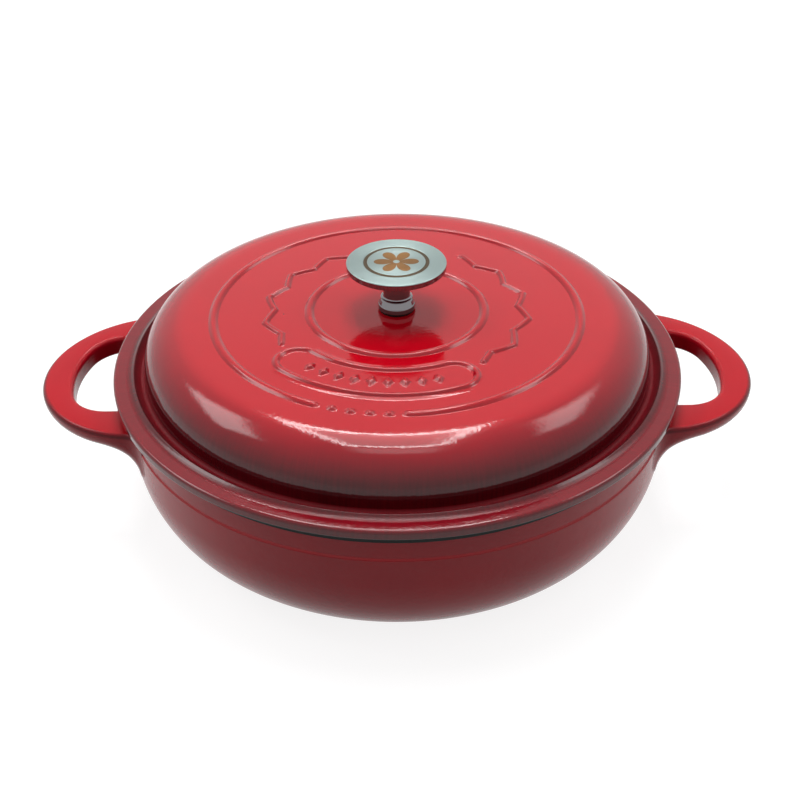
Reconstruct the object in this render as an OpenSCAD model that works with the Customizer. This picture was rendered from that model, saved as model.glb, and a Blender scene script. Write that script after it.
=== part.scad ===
// Shallow covered casserole in enamelled cast iron: a round pan cast with two loop handles, and a
// domed lid with a raised pattern and a turned steel knob that is screwed on from inside the lid.
// Lengths are in millimetres and angles in degrees. The origin is the middle of the underside,
// +X runs along the handles, -Y is the front and +Z is up.

/* [Pan] */
// Outer radius of the wall at its widest
pan_r = 139.5; // [130:0.5:160]
// Height of the rim above the table
pan_h = 73.7; // [68:0.1:95]
// Radius of the flat underside
base_r = 108; // [98:0.5:112]
// Height at which the curved lower corner has become the upright wall
corner_h = 44; // [36:0.5:46]
// Thickness of the wall
wall_t = 4; // [3:0.1:5]
// Thickness of the bottom
base_t = 4.6; // [3.5:0.1:6]
// Height of the plain band under the rim
band_h = 15.4; // [12:0.1:16]
// Distance that the band is set back from the wall
band_step = 0.6; // [0.2:0.1:1]
// Rounding of the rim's two edges
rim_edge_r = 1.4; // [0.6:0.1:1.5]

/* [Handles] */
// Reach of a handle beyond the wall
handle_out = 45.5; // [40:0.5:54]
// Radius of a handle's round outline
handle_r = 58; // [52:0.5:62]
// Width of the bar at a handle's end
handle_w = 16.5; // [14:0.5:18]
// Thickness of the bar
handle_t = 10; // [9.6:0.1:12]
// Depth of a handle's top below the rim
handle_drop = 7.7; // [5:0.1:10]
// Rounding of the bar's upper outer edge
handle_edge_r = 2.4; // [1:0.1:2.8]
// Rounding of the bar's lower outer edge
handle_under_r = 7; // [4:0.1:7.2]
// Half of the hand hole's length along the wall
hole_half = 34.5; // [32:0.5:38]
// Radius of the hand hole's outer side
hole_side_r = 68; // [60:1:90]
// Radius of the hand hole's outer corners
hole_corner_r = 20; // [12:0.5:20]
// Radius of the hand hole's corners at the wall
hole_root_r = 6; // [3:0.5:7]
// Radius of the fillet between an arm's underside and the wall
arm_fillet_r = 16; // [8:0.5:20]

/* [Lid] */
// Overhang of the flange beyond the wall of the pan
lid_over = 5.2; // [4:0.1:7]
// Height of the flange's crest above its seat
flange_t = 6.4; // [6:0.1:8]
// Width of the flange from its crest to its outer edge
flange_w = 10.2; // [9.5:0.1:12]
// Rounding of the flange's crest
crest_r = 0.5; // [0.3:0.1:1]
// Radius of the cove between the crest and the flange's flat rim
cove_r = 7; // [4:0.1:8]
// Slope of the cove where it meets the crest
cove_slope = 33; // [20:1:45]
// Rounding of the flange's upper outer edge
flange_edge_r = 1.6; // [1:0.1:2]
// Bevel of the flange's lower outer edge
flange_bevel = 1.2; // [0.4:0.1:2]
// Width of the groove between the flange's crest and the foot of the dome
groove_w = 5.6; // [5:0.1:7]
// Depth of the groove below the flange's crest
groove_d = 3.3; // [2.5:0.1:4.5]
// Rounding of the groove's bottom
groove_r = 1.6; // [1:0.1:2]
// Height of the lid's flat top above its seat
lid_h = 28.2; // [24:0.1:36]
// Width of the rounded shoulder
shoulder_w = 25.4; // [18:0.1:30]
// Fullness of the shoulder, where 2 is an ellipse
shoulder_pow = 2.5; // [2:0.1:3.5]
// Thickness of the lid
lid_t = 4; // [3:0.1:5]
// Depth of the lip that keeps the lid centred in the rim
lip_h = 3.5; // [2:0.1:5]
// Clearance between the lip and the inside of the rim
lip_gap = 1.2; // [0.6:0.1:2]
// Clearance between the flange and the rim
seat_gap = 0.3; // [0.2:0.05:0.6]

/* [Lid pattern] */
// Turn of the pattern from the front towards the left
pattern_turn = 10.6; // [-180:0.1:180]
// Height of every ridge above the lid's top
ridge_h = 1.2; // [0.6:0.1:2]
// Width of the round ridges
ring_w = 4.4; // [3:0.1:6]
// Radius of the inner ring
inner_ring_r = 44.4; // [36:0.1:48]
// Radius of the outer ring
outer_ring_r = 92.5; // [86:0.1:98]
// Angle of the opening in the outer ring
ring_opening = 27; // [15:1:45]
// Number of teeth in a full turn of the zigzag
zigzag_teeth = 16; // [10:1:24]
// Radius of the zigzag's inner points
zigzag_in_r = 61.5; // [58:0.1:63]
// Radius of the zigzag's outer points
zigzag_out_r = 67; // [65:0.1:72]
// Width of the zigzag ridge
zigzag_w = 3.2; // [2:0.1:4]
// Angle that the zigzag leaves open at the front
zigzag_front = 98; // [92:1:120]
// Angle that the zigzag leaves open at the back
zigzag_back = 44; // [20:1:80]
// Radius of the front panel's inner edge
panel_in_r = 55.9; // [52:0.1:58]
// Radius of the front panel's outer edge
panel_out_r = 79.3; // [74:0.1:84]
// Angle between the middles of the front panel's round ends
panel_sweep = 67; // [40:1:68]
// Width of the ridge round the front panel
panel_line = 2.6; // [1.5:0.1:4]
// Number of lozenges in the front panel
lozenges = 9; // [3:1:12]
// Half of a lozenge's width and length
lozenge_half = [2.4, 4.2]; // [1.5:0.1:4.5]
// Number of studs in the opening of the outer ring
studs = 4; // [1:1:6]
// Radius of a stud
stud_r = 2; // [1:0.1:2.5]

/* [Knob] */
// Radius of the knob's disc
knob_r = 24.9; // [20:0.1:30]
// Height of the knob's top above the lid
knob_h = 26.7; // [25:0.1:36]
// Height of the disc with its cone
disc_h = 6.5; // [5:0.1:8]
// Thickness of the disc at its edge
disc_edge_t = 3.2; // [2:0.1:4]
// Radius of the cone's small end
cone_r = 9.2; // [8:0.1:12]
// Radius of the stem
stem_r = 6.8; // [6:0.1:8]
// Radius of the spigot that joins the stem to the disc
spigot_r = 4; // [3:0.1:5]
// Length of the spigot
spigot_l = 3; // [2:0.1:4]
// Clearance round and above the spigot
spigot_gap = 0.05; // [0.02:0.01:0.1]
// Radius of the collar at the foot of the stem
collar_r = 9.3; // [8.5:0.1:12]
// Height of the collar
collar_h = 6; // [4:0.1:7]
// Thickness of the seal under the collar
seal_t = 1; // [0.6:0.1:1.5]
// Distance that the seal stays back from the collar's edge
seal_inset = 0.5; // [0.2:0.1:1]

/* [Fasteners] */
// Radius of the knob's screw
screw_r = 3; // [2.5:0.1:3.5]
// Length of thread in the stem
thread_l = 9; // [6:0.5:9.5]
// Clearance of the thread in the stem
thread_gap = 0.05; // [0.02:0.01:0.1]
// Clearance of the screw in the pieces that it passes through
screw_gap = 0.4; // [0.2:0.05:0.6]
// Radius of the screw's head
head_r = 6; // [5:0.1:7]
// Height of the screw's head
head_h = 3.4; // [2.5:0.1:4]
// Length of each arm across the head's cross recess
recess_l = 7; // [4:0.1:9]
// Width of the head's cross recess
recess_w = 1.3; // [0.8:0.1:2]
// Depth of the head's cross recess
recess_d = 1.7; // [1:0.1:2]
// Radius of the flat washer
washer_r = 8; // [7:0.1:10]
// Thickness of the flat washer
washer_t = 1.2; // [0.8:0.1:2]
// Radius of the spring washer
spring_r = 5.4; // [4.8:0.1:6.5]
// Thickness of the spring washer
spring_t = 1.6; // [1:0.1:2]
// Width of the slit in the spring washer
slit_w = 1; // [0.5:0.1:1.5]

/* [Hidden] */
$fn = 96;
arc_n = 12;
// Depth that a joined shape reaches into the shape that carries it
sink = 0.5;
// Bevel of small turned edges
bevel = 0.4;
// Bevel between the dome's inside and the lip
inside_bevel = 3;
// Angle by which the groove's outer side leans away from the dome
groove_lean = 38;
// Number of segments of the shoulder's curve
shoulder_n = 24;
// Bevel of the screw head's outer edge
head_bevel = 0.8;
// Largest shares of the hand hole's depth that its outer and wall corners may take
corner_share = 0.7;
root_share = 0.2;

enamel = [0.72, 0.05, 0.08];
steel = [0.76, 0.78, 0.78];
zinc = [0.62, 0.63, 0.64];
rubber = [0.12, 0.12, 0.12];

// Pan
band_r = pan_r - band_step;
rim_in_r = band_r - wall_t;
band_z = pan_h - band_h;

// Handles
handle_x = pan_r + handle_out - handle_r;
handle_z = pan_h - handle_drop - handle_t;
hole_depth = handle_out - handle_w;
hole_side_x = pan_r + hole_depth - hole_side_r;
corner_r = min(hole_corner_r, corner_share * hole_half, corner_share * hole_depth);
root_r = min(hole_root_r, root_share * hole_depth);
corner_y = hole_half - corner_r;
corner_x = hole_side_x + sqrt(pow(hole_side_r - corner_r, 2) - pow(corner_y, 2));
corner_a = atan2(corner_y, corner_x - hole_side_x);
root_y = hole_half - root_r;
root_a = asin(root_y / (band_r + root_r));
root_x = (band_r + root_r) * cos(root_a);
// Radius inside the wall from which the handles grow
inside_wall_r = pan_r - wall_t / 2;

// Lid
seat_z = pan_h + seat_gap;
lid_r = pan_r + lid_over;
crest_x = lid_r - flange_w;
crest_z = seat_z + flange_t;
cove_x = crest_x + (crest_r + cove_r) * sin(cove_slope);
flange_z = crest_z - (crest_r + cove_r) * (1 - cos(cove_slope));
dome_r = crest_x - groove_w;
dome_z = crest_z - groove_d + groove_r;
lid_z = seat_z + lid_h;
lid_in_z = lid_z - lid_t;
top_r = dome_r - shoulder_w;
lip_r = rim_in_r - lip_gap;
pattern_front = -90 - pattern_turn;
zigzag_step = 180 / zigzag_teeth;
panel_mid_r = (panel_in_r + panel_out_r) / 2;
panel_half = (panel_out_r - panel_in_r) / 2;

// Knob and fasteners
foot_r = (stem_r + collar_r) / 2;
collar_z = lid_z + seal_t;
stem_z = collar_z + collar_h;
knob_z = lid_z + knob_h;
disc_z = knob_z - disc_h;
pass_r = screw_r + screw_gap;
spring_z = lid_in_z - washer_t - spring_t;
screw_tip_z = stem_z + thread_l;

// Points along an arc about [x, y], from angle a0 to angle a1
function arc(x, y, r, a0, a1) =
    [for (i = [0:arc_n]) let (a = a0 + (a1 - a0) * i / arc_n) [x + r * cos(a), y + r * sin(a)]];

// Points along a quarter of an ellipse with half axes a and b about [x, y], from angle a0
function quarter(x, y, a, b, a0) =
    [for (i = [0:arc_n]) let (t = a0 + 90 * i / arc_n) [x + a * cos(t), y + b * sin(t)]];

// Points along the shoulder, a quarter of a superellipse from [x + a, y] to [x, y + b]
function shoulder(x, y, a, b) =
    [for (i = [0:shoulder_n]) let (t = 90 * i / shoulder_n)
        [x + a * pow(cos(t), 2 / shoulder_pow), y + b * pow(sin(t), 2 / shoulder_pow)]];

function reversed(list) = [for (i = [len(list) - 1:-1:0]) list[i]];

// Point at radius r and angle a
function polar(r, a) = [r * cos(a), r * sin(a)];

// Section of the pan: flat bottom, elliptical corner, upright wall, set-back band and round rim
module pan_section() {
    polygon(concat(
        [[0, 0]],
        quarter(base_r, corner_h, pan_r - base_r, corner_h, -90),
        [[pan_r, band_z], [band_r, band_z + band_step]],
        arc(band_r - rim_edge_r, pan_h - rim_edge_r, rim_edge_r, 0, 90),
        arc(rim_in_r + rim_edge_r, pan_h - rim_edge_r, rim_edge_r, 90, 180),
        [[rim_in_r, band_z], [pan_r - wall_t, corner_h]],
        reversed(quarter(base_r - wall_t / 2, corner_h, pan_r - wall_t / 2 - base_r,
                         corner_h - base_t, -90)),
        [[0, base_t]]
    ));
}

// Outline of a hand hole: outer side, two outer corners, and two corners that run into the wall
module hand_hole() {
    half = concat(arc(root_x, root_y, root_r, 180 + root_a, 90),
                  arc(corner_x, corner_y, corner_r, 90, corner_a),
                  arc(hole_side_x, 0, hole_side_r, corner_a, 0));
    polygon(concat(half, [for (p = reversed(half)) [p.x, -p.y]]));
}

// Plan of a handle, from inside the wall to its outer end
module handle_plan() {
    difference() {
        translate([handle_x, 0]) circle(handle_r);
        circle(inside_wall_r);
        hand_hole();
    }
}

// Section of a handle's bar seen from its centre, with round outer edges
module handle_section() {
    polygon(concat(
        [[0, 0]],
        arc(handle_r - handle_under_r, handle_under_r, handle_under_r, -90, 0),
        arc(handle_r - handle_edge_r, handle_t - handle_edge_r, handle_edge_r, 0, 90),
        [[0, handle_t]]
    ));
}

// Section of the fillet that carries an arm, around the axis of the pan
module arm_fillet_section() {
    fillet_r = pan_r + arm_fillet_r;
    polygon(concat(
        [[inside_wall_r, handle_z + sink], [fillet_r, handle_z + sink]],
        arc(fillet_r, handle_z - arm_fillet_r, arm_fillet_r, 90, 180),
        [[inside_wall_r, handle_z - arm_fillet_r]]
    ));
}

module handle() {
    intersection() {
        translate([handle_x, 0, handle_z]) rotate_extrude() handle_section();
        translate([0, 0, handle_z]) linear_extrude(handle_t) handle_plan();
    }
    intersection() {
        rotate_extrude() arm_fillet_section();
        translate([0, 0, handle_z - arm_fillet_r]) linear_extrude(arm_fillet_r + sink) handle_plan();
    }
}

module pan() {
    color(enamel) union() {
        rotate_extrude() pan_section();
        handle();
        mirror([1, 0, 0]) handle();
    }
}

// Section of the lid: inside, lip, seat, flange, cove, crest, groove, shoulder and top with its hole
module lid_section() {
    dome_in_r = dome_r - lid_t;
    lip_z = seat_z - lip_h;
    polygon(concat(
        [[pass_r, lid_in_z]],
        reversed(shoulder(top_r, dome_z, dome_in_r - top_r, lid_in_z - dome_z)),
        [[dome_in_r, lip_z + inside_bevel], [dome_in_r + inside_bevel, lip_z],
         [lip_r - bevel, lip_z], [lip_r, lip_z + bevel], [lip_r, seat_z],
         [lid_r - flange_bevel, seat_z], [lid_r, seat_z + flange_bevel]],
        arc(lid_r - flange_edge_r, flange_z - flange_edge_r, flange_edge_r, 0, 90),
        arc(cove_x, flange_z + cove_r, cove_r, 270, 270 - cove_slope),
        arc(crest_x, crest_z - crest_r, crest_r, 90 - cove_slope, 180 - groove_lean),
        reversed(arc(dome_r + groove_r, dome_z, groove_r, 180, 360 - groove_lean)),
        shoulder(top_r, dome_z, shoulder_w, lid_z - dome_z),
        [[pass_r, lid_z]]
    ));
}

// Round ridge at radius r over an angle, with its ends rounded off
module ring_ridge(r, angle) {
    round_r = (pow(ring_w / 2, 2) + pow(ridge_h, 2)) / (2 * ridge_h);
    rotate_extrude(angle = angle) translate([r, 0]) intersection() {
        translate([0, ridge_h - round_r]) circle(round_r);
        translate([-ring_w / 2, -sink]) square([ring_w, ridge_h + sink]);
    }
}

// Radius of the zigzag at an angle from the front, where every even half tooth is an outer point
function zigzag_r(a) =
    let (k = a / zigzag_step, i = floor(k), share = i % 2 == 0 ? k - i : 1 - k + i)
    zigzag_out_r + (zigzag_in_r - zigzag_out_r) * share;

// Band of one width along one side of the zigzag, from its front end to its back end, with round ends
module zigzag_band() {
    rise = zigzag_out_r - zigzag_in_r;
    run = (zigzag_out_r + zigzag_in_r) / 2 * sin(zigzag_step);
    half = zigzag_w / 2 * norm([rise, run]) / run;
    start_a = zigzag_front / 2;
    end_a = floor((180 - zigzag_back / 2) / zigzag_step) * zigzag_step;
    turns = [for (a = [ceil(start_a / zigzag_step) * zigzag_step:zigzag_step:end_a - zigzag_step / 2]) a];
    start = polar(zigzag_r(start_a), start_a);
    end = polar(zigzag_r(end_a), end_a);
    polygon(concat(
        [for (a = turns) polar(zigzag_r(a) + half, a)],
        arc(end.x, end.y, half, end_a, end_a + 180),
        [for (a = reversed(turns)) polar(zigzag_r(a) - half, a)],
        arc(start.x, start.y, half, start_a + 180, start_a + 360)
    ));
}

// Curved panel with round ends about the front of the pattern, drawn in by an inset
module panel(inset) {
    half = panel_half - inset;
    end_a = panel_sweep / 2;
    right = polar(panel_mid_r, -end_a);
    left = polar(panel_mid_r, end_a);
    polygon(concat(
        arc(0, 0, panel_mid_r + half, -end_a, end_a),
        arc(left.x, left.y, half, end_a, end_a + 180),
        arc(0, 0, panel_mid_r - half, end_a, -end_a),
        arc(right.x, right.y, half, 180 - end_a, 360 - end_a)
    ));
}

module lozenge() {
    polygon([[-lozenge_half.y, 0], [0, -lozenge_half.x], [lozenge_half.y, 0], [0, lozenge_half.x]]);
}

// Raised pattern of the lid, with its front along +X
module lid_pattern() {
    ring_ridge(inner_ring_r, 360);
    rotate(ring_opening / 2) ring_ridge(outer_ring_r, 360 - ring_opening);
    translate([0, 0, -sink]) linear_extrude(ridge_h + sink) {
        for (k = [0, 1]) mirror([0, k]) zigzag_band();
        difference() {
            panel(0);
            panel(panel_line);
        }
        for (i = [1:lozenges]) {
            rotate((i / (lozenges + 1) - 0.5) * panel_sweep) translate([panel_mid_r, 0]) lozenge();
        }
        for (i = [1:studs]) {
            rotate((i / (studs + 1) - 0.5) * ring_opening) translate([outer_ring_r, 0]) circle(stud_r);
        }
    }
}

module lid() {
    color(enamel) union() {
        rotate_extrude() lid_section();
        translate([0, 0, lid_z]) rotate(pattern_front) lid_pattern();
    }
}

// Disc with a cone below and a socket for the stem's spigot
module knob_disc() {
    socket_r = spigot_r + spigot_gap;
    socket_z = disc_z + spigot_l + spigot_gap;
    color(steel) rotate_extrude() polygon([
        [0, socket_z], [socket_r, socket_z], [socket_r, disc_z], [cone_r, disc_z],
        [knob_r - bevel, knob_z - disc_edge_t], [knob_r, knob_z - disc_edge_t + bevel],
        [knob_r, knob_z - bevel], [knob_r - bevel, knob_z], [0, knob_z]
    ]);
}

// Stem with a flared foot, a threaded bore from below and a spigot on top
module knob_stem() {
    flare = foot_r - stem_r;
    bore_r = screw_r + thread_gap;
    bore_z = screw_tip_z + bevel;
    color(steel) rotate_extrude() polygon(concat(
        [[0, bore_z], [bore_r, bore_z], [bore_r, stem_z], [foot_r, stem_z]],
        reversed(arc(foot_r, stem_z + bevel + flare, flare, 180, 270)),
        [[stem_r, disc_z], [spigot_r, disc_z], [spigot_r, disc_z + spigot_l], [0, disc_z + spigot_l]]
    ));
}

// Collar: a ring with a cove that narrows to the foot of the stem
module knob_collar() {
    color(steel) rotate_extrude() polygon([
        [pass_r, collar_z], [collar_r - bevel, collar_z], [collar_r, collar_z + bevel],
        [collar_r, collar_z + collar_h / 2], [foot_r - bevel, stem_z - bevel],
        [foot_r - bevel, stem_z], [pass_r, stem_z]
    ]);
}

// Flat ring between two radii and two heights
module flat_ring(inner_r, outer_r, z, t) {
    translate([0, 0, z]) difference() {
        cylinder(r = outer_r, h = t);
        translate([0, 0, -sink]) cylinder(r = inner_r, h = t + 2 * sink);
    }
}

module knob_seal() {
    color(rubber) flat_ring(pass_r, collar_r - seal_inset, lid_z, seal_t);
}

module flat_washer() {
    color(zinc) flat_ring(pass_r, washer_r, lid_in_z - washer_t, washer_t);
}

// Ring with a slit, pressed flat by the screw's head
module spring_washer() {
    color(zinc) difference() {
        flat_ring(pass_r, spring_r, spring_z, spring_t);
        translate([0, -slit_w / 2, spring_z - sink]) cube([spring_r + sink, slit_w, spring_t + 2 * sink]);
    }
}

// Screw with a flat head and a cross recess, its head down inside the lid
module knob_screw() {
    head_z = spring_z - head_h;
    color(zinc) difference() {
        rotate_extrude() polygon([
            [0, head_z], [head_r - head_bevel, head_z], [head_r, head_z + head_bevel], [head_r, spring_z],
            [screw_r, spring_z], [screw_r, screw_tip_z - bevel], [screw_r - bevel, screw_tip_z],
            [0, screw_tip_z]
        ]);
        for (a = [0, 90]) rotate(a) translate([-recess_l / 2, -recess_w / 2, head_z - sink])
            cube([recess_l, recess_w, recess_d + sink]);
    }
}

pan();
lid();
knob_disc();
knob_stem();
knob_collar();
knob_seal();
flat_washer();
spring_washer();
knob_screw();
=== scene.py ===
import math

import bmesh
import bpy
import numpy as np
from mathutils import Euler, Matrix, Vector


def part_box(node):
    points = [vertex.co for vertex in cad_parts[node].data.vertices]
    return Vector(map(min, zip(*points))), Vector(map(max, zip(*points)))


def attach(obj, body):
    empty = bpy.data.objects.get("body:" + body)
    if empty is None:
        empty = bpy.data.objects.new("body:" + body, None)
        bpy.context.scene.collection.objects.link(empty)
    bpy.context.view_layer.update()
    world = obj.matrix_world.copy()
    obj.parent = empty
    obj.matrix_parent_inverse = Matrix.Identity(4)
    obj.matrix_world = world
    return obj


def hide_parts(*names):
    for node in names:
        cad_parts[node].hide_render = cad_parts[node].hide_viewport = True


bl_info = {
    "name": "Covered Casserole Dish",
    "version": (1, 0, 0),
    "blender": (4, 5, 0),
    "location": "View3D > Sidebar > Casserole",
    "description": "Builds an enamelled cast-iron casserole with a lift-off lid over its CAD frame",
    "category": "Add Mesh",
}

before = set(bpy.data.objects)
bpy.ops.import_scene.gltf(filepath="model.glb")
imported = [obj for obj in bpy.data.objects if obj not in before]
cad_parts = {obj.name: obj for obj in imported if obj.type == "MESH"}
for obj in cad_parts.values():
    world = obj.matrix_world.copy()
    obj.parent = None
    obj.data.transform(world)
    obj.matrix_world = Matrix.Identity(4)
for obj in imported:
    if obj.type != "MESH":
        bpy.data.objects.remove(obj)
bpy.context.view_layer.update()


# Settings

def length(name, description, mm):
    """Length property in metres, with its default given in millimetres."""
    return bpy.props.FloatProperty(name=name, description=description, default=mm / 1000,
                                   min=0, unit="LENGTH", precision=5)


def angle(name, description, degrees):
    """Angle property, with its default given in degrees."""
    return bpy.props.FloatProperty(name=name, description=description,
                                   default=math.radians(degrees), subtype="ANGLE")


def count(name, description, default):
    """Whole number property."""
    return bpy.props.IntProperty(name=name, description=description, default=default, min=1)


def colour(name, description, default):
    """Linear RGBA colour property."""
    return bpy.props.FloatVectorProperty(name=name, description=description, size=4, min=0, max=1,
                                         default=(*default, 1), subtype="COLOR")


def top_of(node):
    """Highest point of a CAD node, in millimetres."""
    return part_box(node)[1].z * 1000


def foot_of(node):
    """Lowest point of a CAD node, in millimetres."""
    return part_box(node)[0].z * 1000


def reach_of(node):
    """Largest distance of a CAD node along +X, in millimetres."""
    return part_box(node)[1].x * 1000


class PanSizes(bpy.types.PropertyGroup):
    """Sizes of the pan without its handles."""
    wall_r: length("Wall radius", "Outer radius of the upright wall", 139.5)
    rim_z: length("Rim height", "Height of the rim above the table", top_of("pan"))
    base_r: length("Base radius", "Radius of the flat underside", 108)
    corner_z: length("Corner height", "Height where the round corner ends", 44)
    wall_t: length("Wall thickness", "Thickness of the wall", 4)
    base_t: length("Base thickness", "Thickness of the bottom", 4.6)
    band_h: length("Band height", "Height of the plain band under the rim", 15.4)
    band_step: length("Band step", "Set-back of the band from the wall", 0.6)
    rim_edge: length("Rim rounding", "Rounding of the rim's two edges", 1.4)
    # The black band is partly the real black rim and partly painted shadow under the lid's flange.
    black_rim_and_shadow_h: length("Black rim", "Depth of the black enamel below the rim", 5.5)


class HandleSizes(bpy.types.PropertyGroup):
    """Sizes of the two loop handles."""
    reach: length("Reach", "Distance of a handle's end from the middle", reach_of("pan"))
    outline_r: length("Outline radius", "Radius of the round outline", 58)
    bar_w: length("Bar width", "Width of the bar at the end", 16.5)
    bar_t: length("Bar thickness", "Thickness of the bar", 10)
    drop: length("Drop", "Depth of the top below the rim", 7.7)
    top_edge: length("Top rounding", "Rounding of the bar's upper edges", 2.4)
    low_edge: length("Lower rounding", "Rounding of the bar's lower outer edge", 7)
    hole_edge: length("Hole rounding", "Rounding of the bar's upper edge at the hole", 3)
    hole_half: length("Hole half length", "Half of the hand hole's length", 34.5)
    hole_side_r: length("Hole side radius", "Radius of the hole's outer side", 68)
    hole_corner_r: length("Hole corner radius", "Radius of the hole's outer corners", 20)
    side_fillet: length("Side fillet", "Fillet of the arm's sides into the wall", 5.8)
    low_fillet: length("Lower fillet", "Fillet of the arm's underside into the wall", 16)


class LidSizes(bpy.types.PropertyGroup):
    """Sizes of the lid without its pattern."""
    seat_z: length("Seat height", "Height of the flange's underside", 74)
    flange_r: length("Flange radius", "Outer radius of the flange", reach_of("lid"))
    flange_w: length("Flange width", "Distance of the flange's crest from its edge", 10.2)
    flange_t: length("Flange thickness", "Thickness of the flange at its crest", 6.4)
    crest_r: length("Crest rounding", "Rounding of the crest", 0.5)
    cove_r: length("Cove radius", "Radius of the cove between the crest and the flat rim", 7)
    slope: angle("Crest slope", "Steepest slope between the crest and the flat rim", 33)
    edge_r: length("Edge rounding", "Rounding of the flange's upper edge", 1.6)
    bevel: length("Bevel", "Bevel of the flange's lower edge", 1.2)
    tilt: angle("Rim tilt", "Rise of the flat rim towards its edge", 0.8)
    groove_w: length("Groove width", "Distance from the dome's foot to the crest", 5.6)
    groove_d: length("Groove depth", "Depth of the groove below the crest", 3.3)
    groove_r: length("Groove rounding", "Rounding of the groove's bottom", 1.6)
    groove_lean: angle("Groove lean", "Lean of the groove's outer side", 38)
    top_z: length("Top height", "Height of the flat top", top_of("lid") - 1.2)
    shoulder_w: length("Shoulder width", "Width of the rounded shoulder", 25.4)
    wall_t: length("Wall thickness", "Thickness of the lid", 4)
    lip_r: length("Lip radius", "Outer radius of the lip", 133.7)
    lip_h: length("Lip height", "Depth of the lip below the seat", 3.5)
    hole_r: length("Hole radius", "Radius of the screw's hole", 3.4)


class PatternSizes(bpy.types.PropertyGroup):
    """Sizes of the raised pattern on the lid."""
    front: angle("Front", "Direction of the pattern's front", -100.6)
    height: length("Ridge height", "Height of every ridge above the top", 1.2)
    ring_w: length("Ring width", "Width of the round ridges", 4.4)
    inner_r: length("Inner ring", "Radius of the inner ring", 44.4)
    outer_r: length("Outer ring", "Radius of the outer ring", 92.5)
    opening: angle("Ring opening", "Opening of the outer ring", 27)
    teeth: count("Teeth", "Teeth in a full turn of the zigzag", 16)
    tooth_in: length("Tooth root", "Radius of the zigzag's inner points", 61.5)
    tooth_out: length("Tooth tip", "Radius of the zigzag's outer points", 67)
    tooth_w: length("Tooth width", "Width of the zigzag ridge", 3.2)
    zigzag_start: angle("Zigzag start", "Angle from the front where the zigzag starts", 49)
    zigzag_end: angle("Zigzag end", "Angle from the front where the zigzag ends", 157.5)
    panel_in: length("Panel inner edge", "Radius of the panel's inner edge", 55.9)
    panel_out: length("Panel outer edge", "Radius of the panel's outer edge", 79.3)
    panel_sweep: angle("Panel sweep", "Angle between the panel's round ends", 67)
    panel_line: length("Panel line", "Width of the ridge round the panel", 2.6)
    lozenges: count("Lozenges", "Lozenges in the panel", 9)
    lozenge_w: length("Lozenge width", "Half of a lozenge's width", 2.4)
    lozenge_l: length("Lozenge length", "Half of a lozenge's length", 4.2)
    studs: count("Studs", "Studs in the outer ring's opening", 4)
    stud_r: length("Stud radius", "Radius of a stud", 2)


class KnobSizes(bpy.types.PropertyGroup):
    """Sizes of the knob and of the fasteners that hold it."""
    disc_r: length("Disc radius", "Radius of the disc", reach_of("knob_disc"))
    disc_z: length("Disc top", "Height of the disc's top", top_of("knob_disc"))
    cone_z: length("Cone foot", "Height of the cone's small end", foot_of("knob_disc"))
    cone_r: length("Cone radius", "Radius of the cone's small end", 9.2)
    edge_t: length("Edge thickness", "Thickness of the disc at its edge", 3.2)
    socket_r: length("Socket radius", "Radius of the socket in the disc", 4.05)
    socket_h: length("Socket depth", "Depth of the socket in the disc", 3.05)
    groove_r: length("Groove radius", "Outer radius of the turned groove in the top", 16.4)
    groove_w: length("Groove width", "Width of the turned groove", 1.9)
    groove_d: length("Groove depth", "Depth of the turned groove", 0.18)
    rosette_r: length("Rosette radius", "Radius of the etched rosette", 11.2)
    stem_r: length("Stem radius", "Radius of the stem", 6.8)
    stem_z: length("Stem foot", "Height of the stem's foot", foot_of("knob_stem"))
    spigot_r: length("Spigot radius", "Radius of the spigot on the stem", 4)
    spigot_z: length("Spigot top", "Height of the spigot's top", top_of("knob_stem"))
    bore_r: length("Bore radius", "Radius of the stem's threaded bore", 3.05)
    bore_z: length("Bore end", "Height of the bore's end", 118.6)
    collar_r: length("Collar radius", "Radius of the collar", reach_of("knob_collar"))
    collar_z: length("Collar foot", "Height of the collar's foot", foot_of("knob_collar"))
    foot_r: length("Foot radius", "Radius where the stem meets the collar", 8.05)
    pass_r: length("Hole radius", "Radius of the holes that the screw passes", 3.4)
    seal_r: length("Seal radius", "Radius of the seal", reach_of("knob_seal"))
    washer_r: length("Washer radius", "Radius of the flat washer", reach_of("flat_washer"))
    spring_r: length("Spring radius", "Radius of the spring washer", 5.4)
    slit_w: length("Slit width", "Slit of the spring washer", 1)
    screw_r: length("Screw radius", "Radius over the screw's thread", 3)
    head_r: length("Head radius", "Radius of the screw's head", reach_of("knob_screw"))
    recess_l: length("Recess length", "Length across the cross recess", 7)
    recess_w: length("Recess width", "Width of the cross recess", 1.3)
    recess_d: length("Recess depth", "Depth of the cross recess", 1.7)
    pitch: length("Thread pitch", "Pitch of the screw's thread", 1)


class DishColours(bpy.types.PropertyGroup):
    """Colours of the finishes."""
    # The tone mixes dark, deep and bright: on the handles by how far a face looks up, painting
    # light on tops and shade on sides, and down the lid's shoulder and crest partly as painted
    # shade.
    bright: colour("Bright enamel", "Red of the faces that look up", (0.40, 0.0011, 0.0075))
    deep: colour("Deep enamel", "Wine red of the sides", (0.175, 0.001, 0.0065))
    dark: colour("Dark enamel", "Nearly black red low on the dome", (0.016, 0.001, 0.002))
    inside: colour("Inside enamel", "Cream of the inside", (0.78, 0.72, 0.60))
    rim: colour("Matt black", "Enamel of the rim and the seat, and the seal", (0.004, 0.004, 0.004))
    steel: colour("Knob steel", "Turned stainless steel", (0.25, 0.315, 0.305))
    # The post steel is darker than stainless so its mirror images of the lid come out dark: partly
    # painted shade.
    post: colour("Post steel", "Darker polished steel of stem and collar", (0.21, 0.20, 0.21))
    etched: colour("Etched line", "Brown of the etched lines", (0.17, 0.085, 0.03))
    zinc: colour("Fastener steel", "Plated screw and washers", (0.52, 0.53, 0.54))
    floor: colour("Floor", "Plain pale floor", (0.55, 0.55, 0.55))


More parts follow.
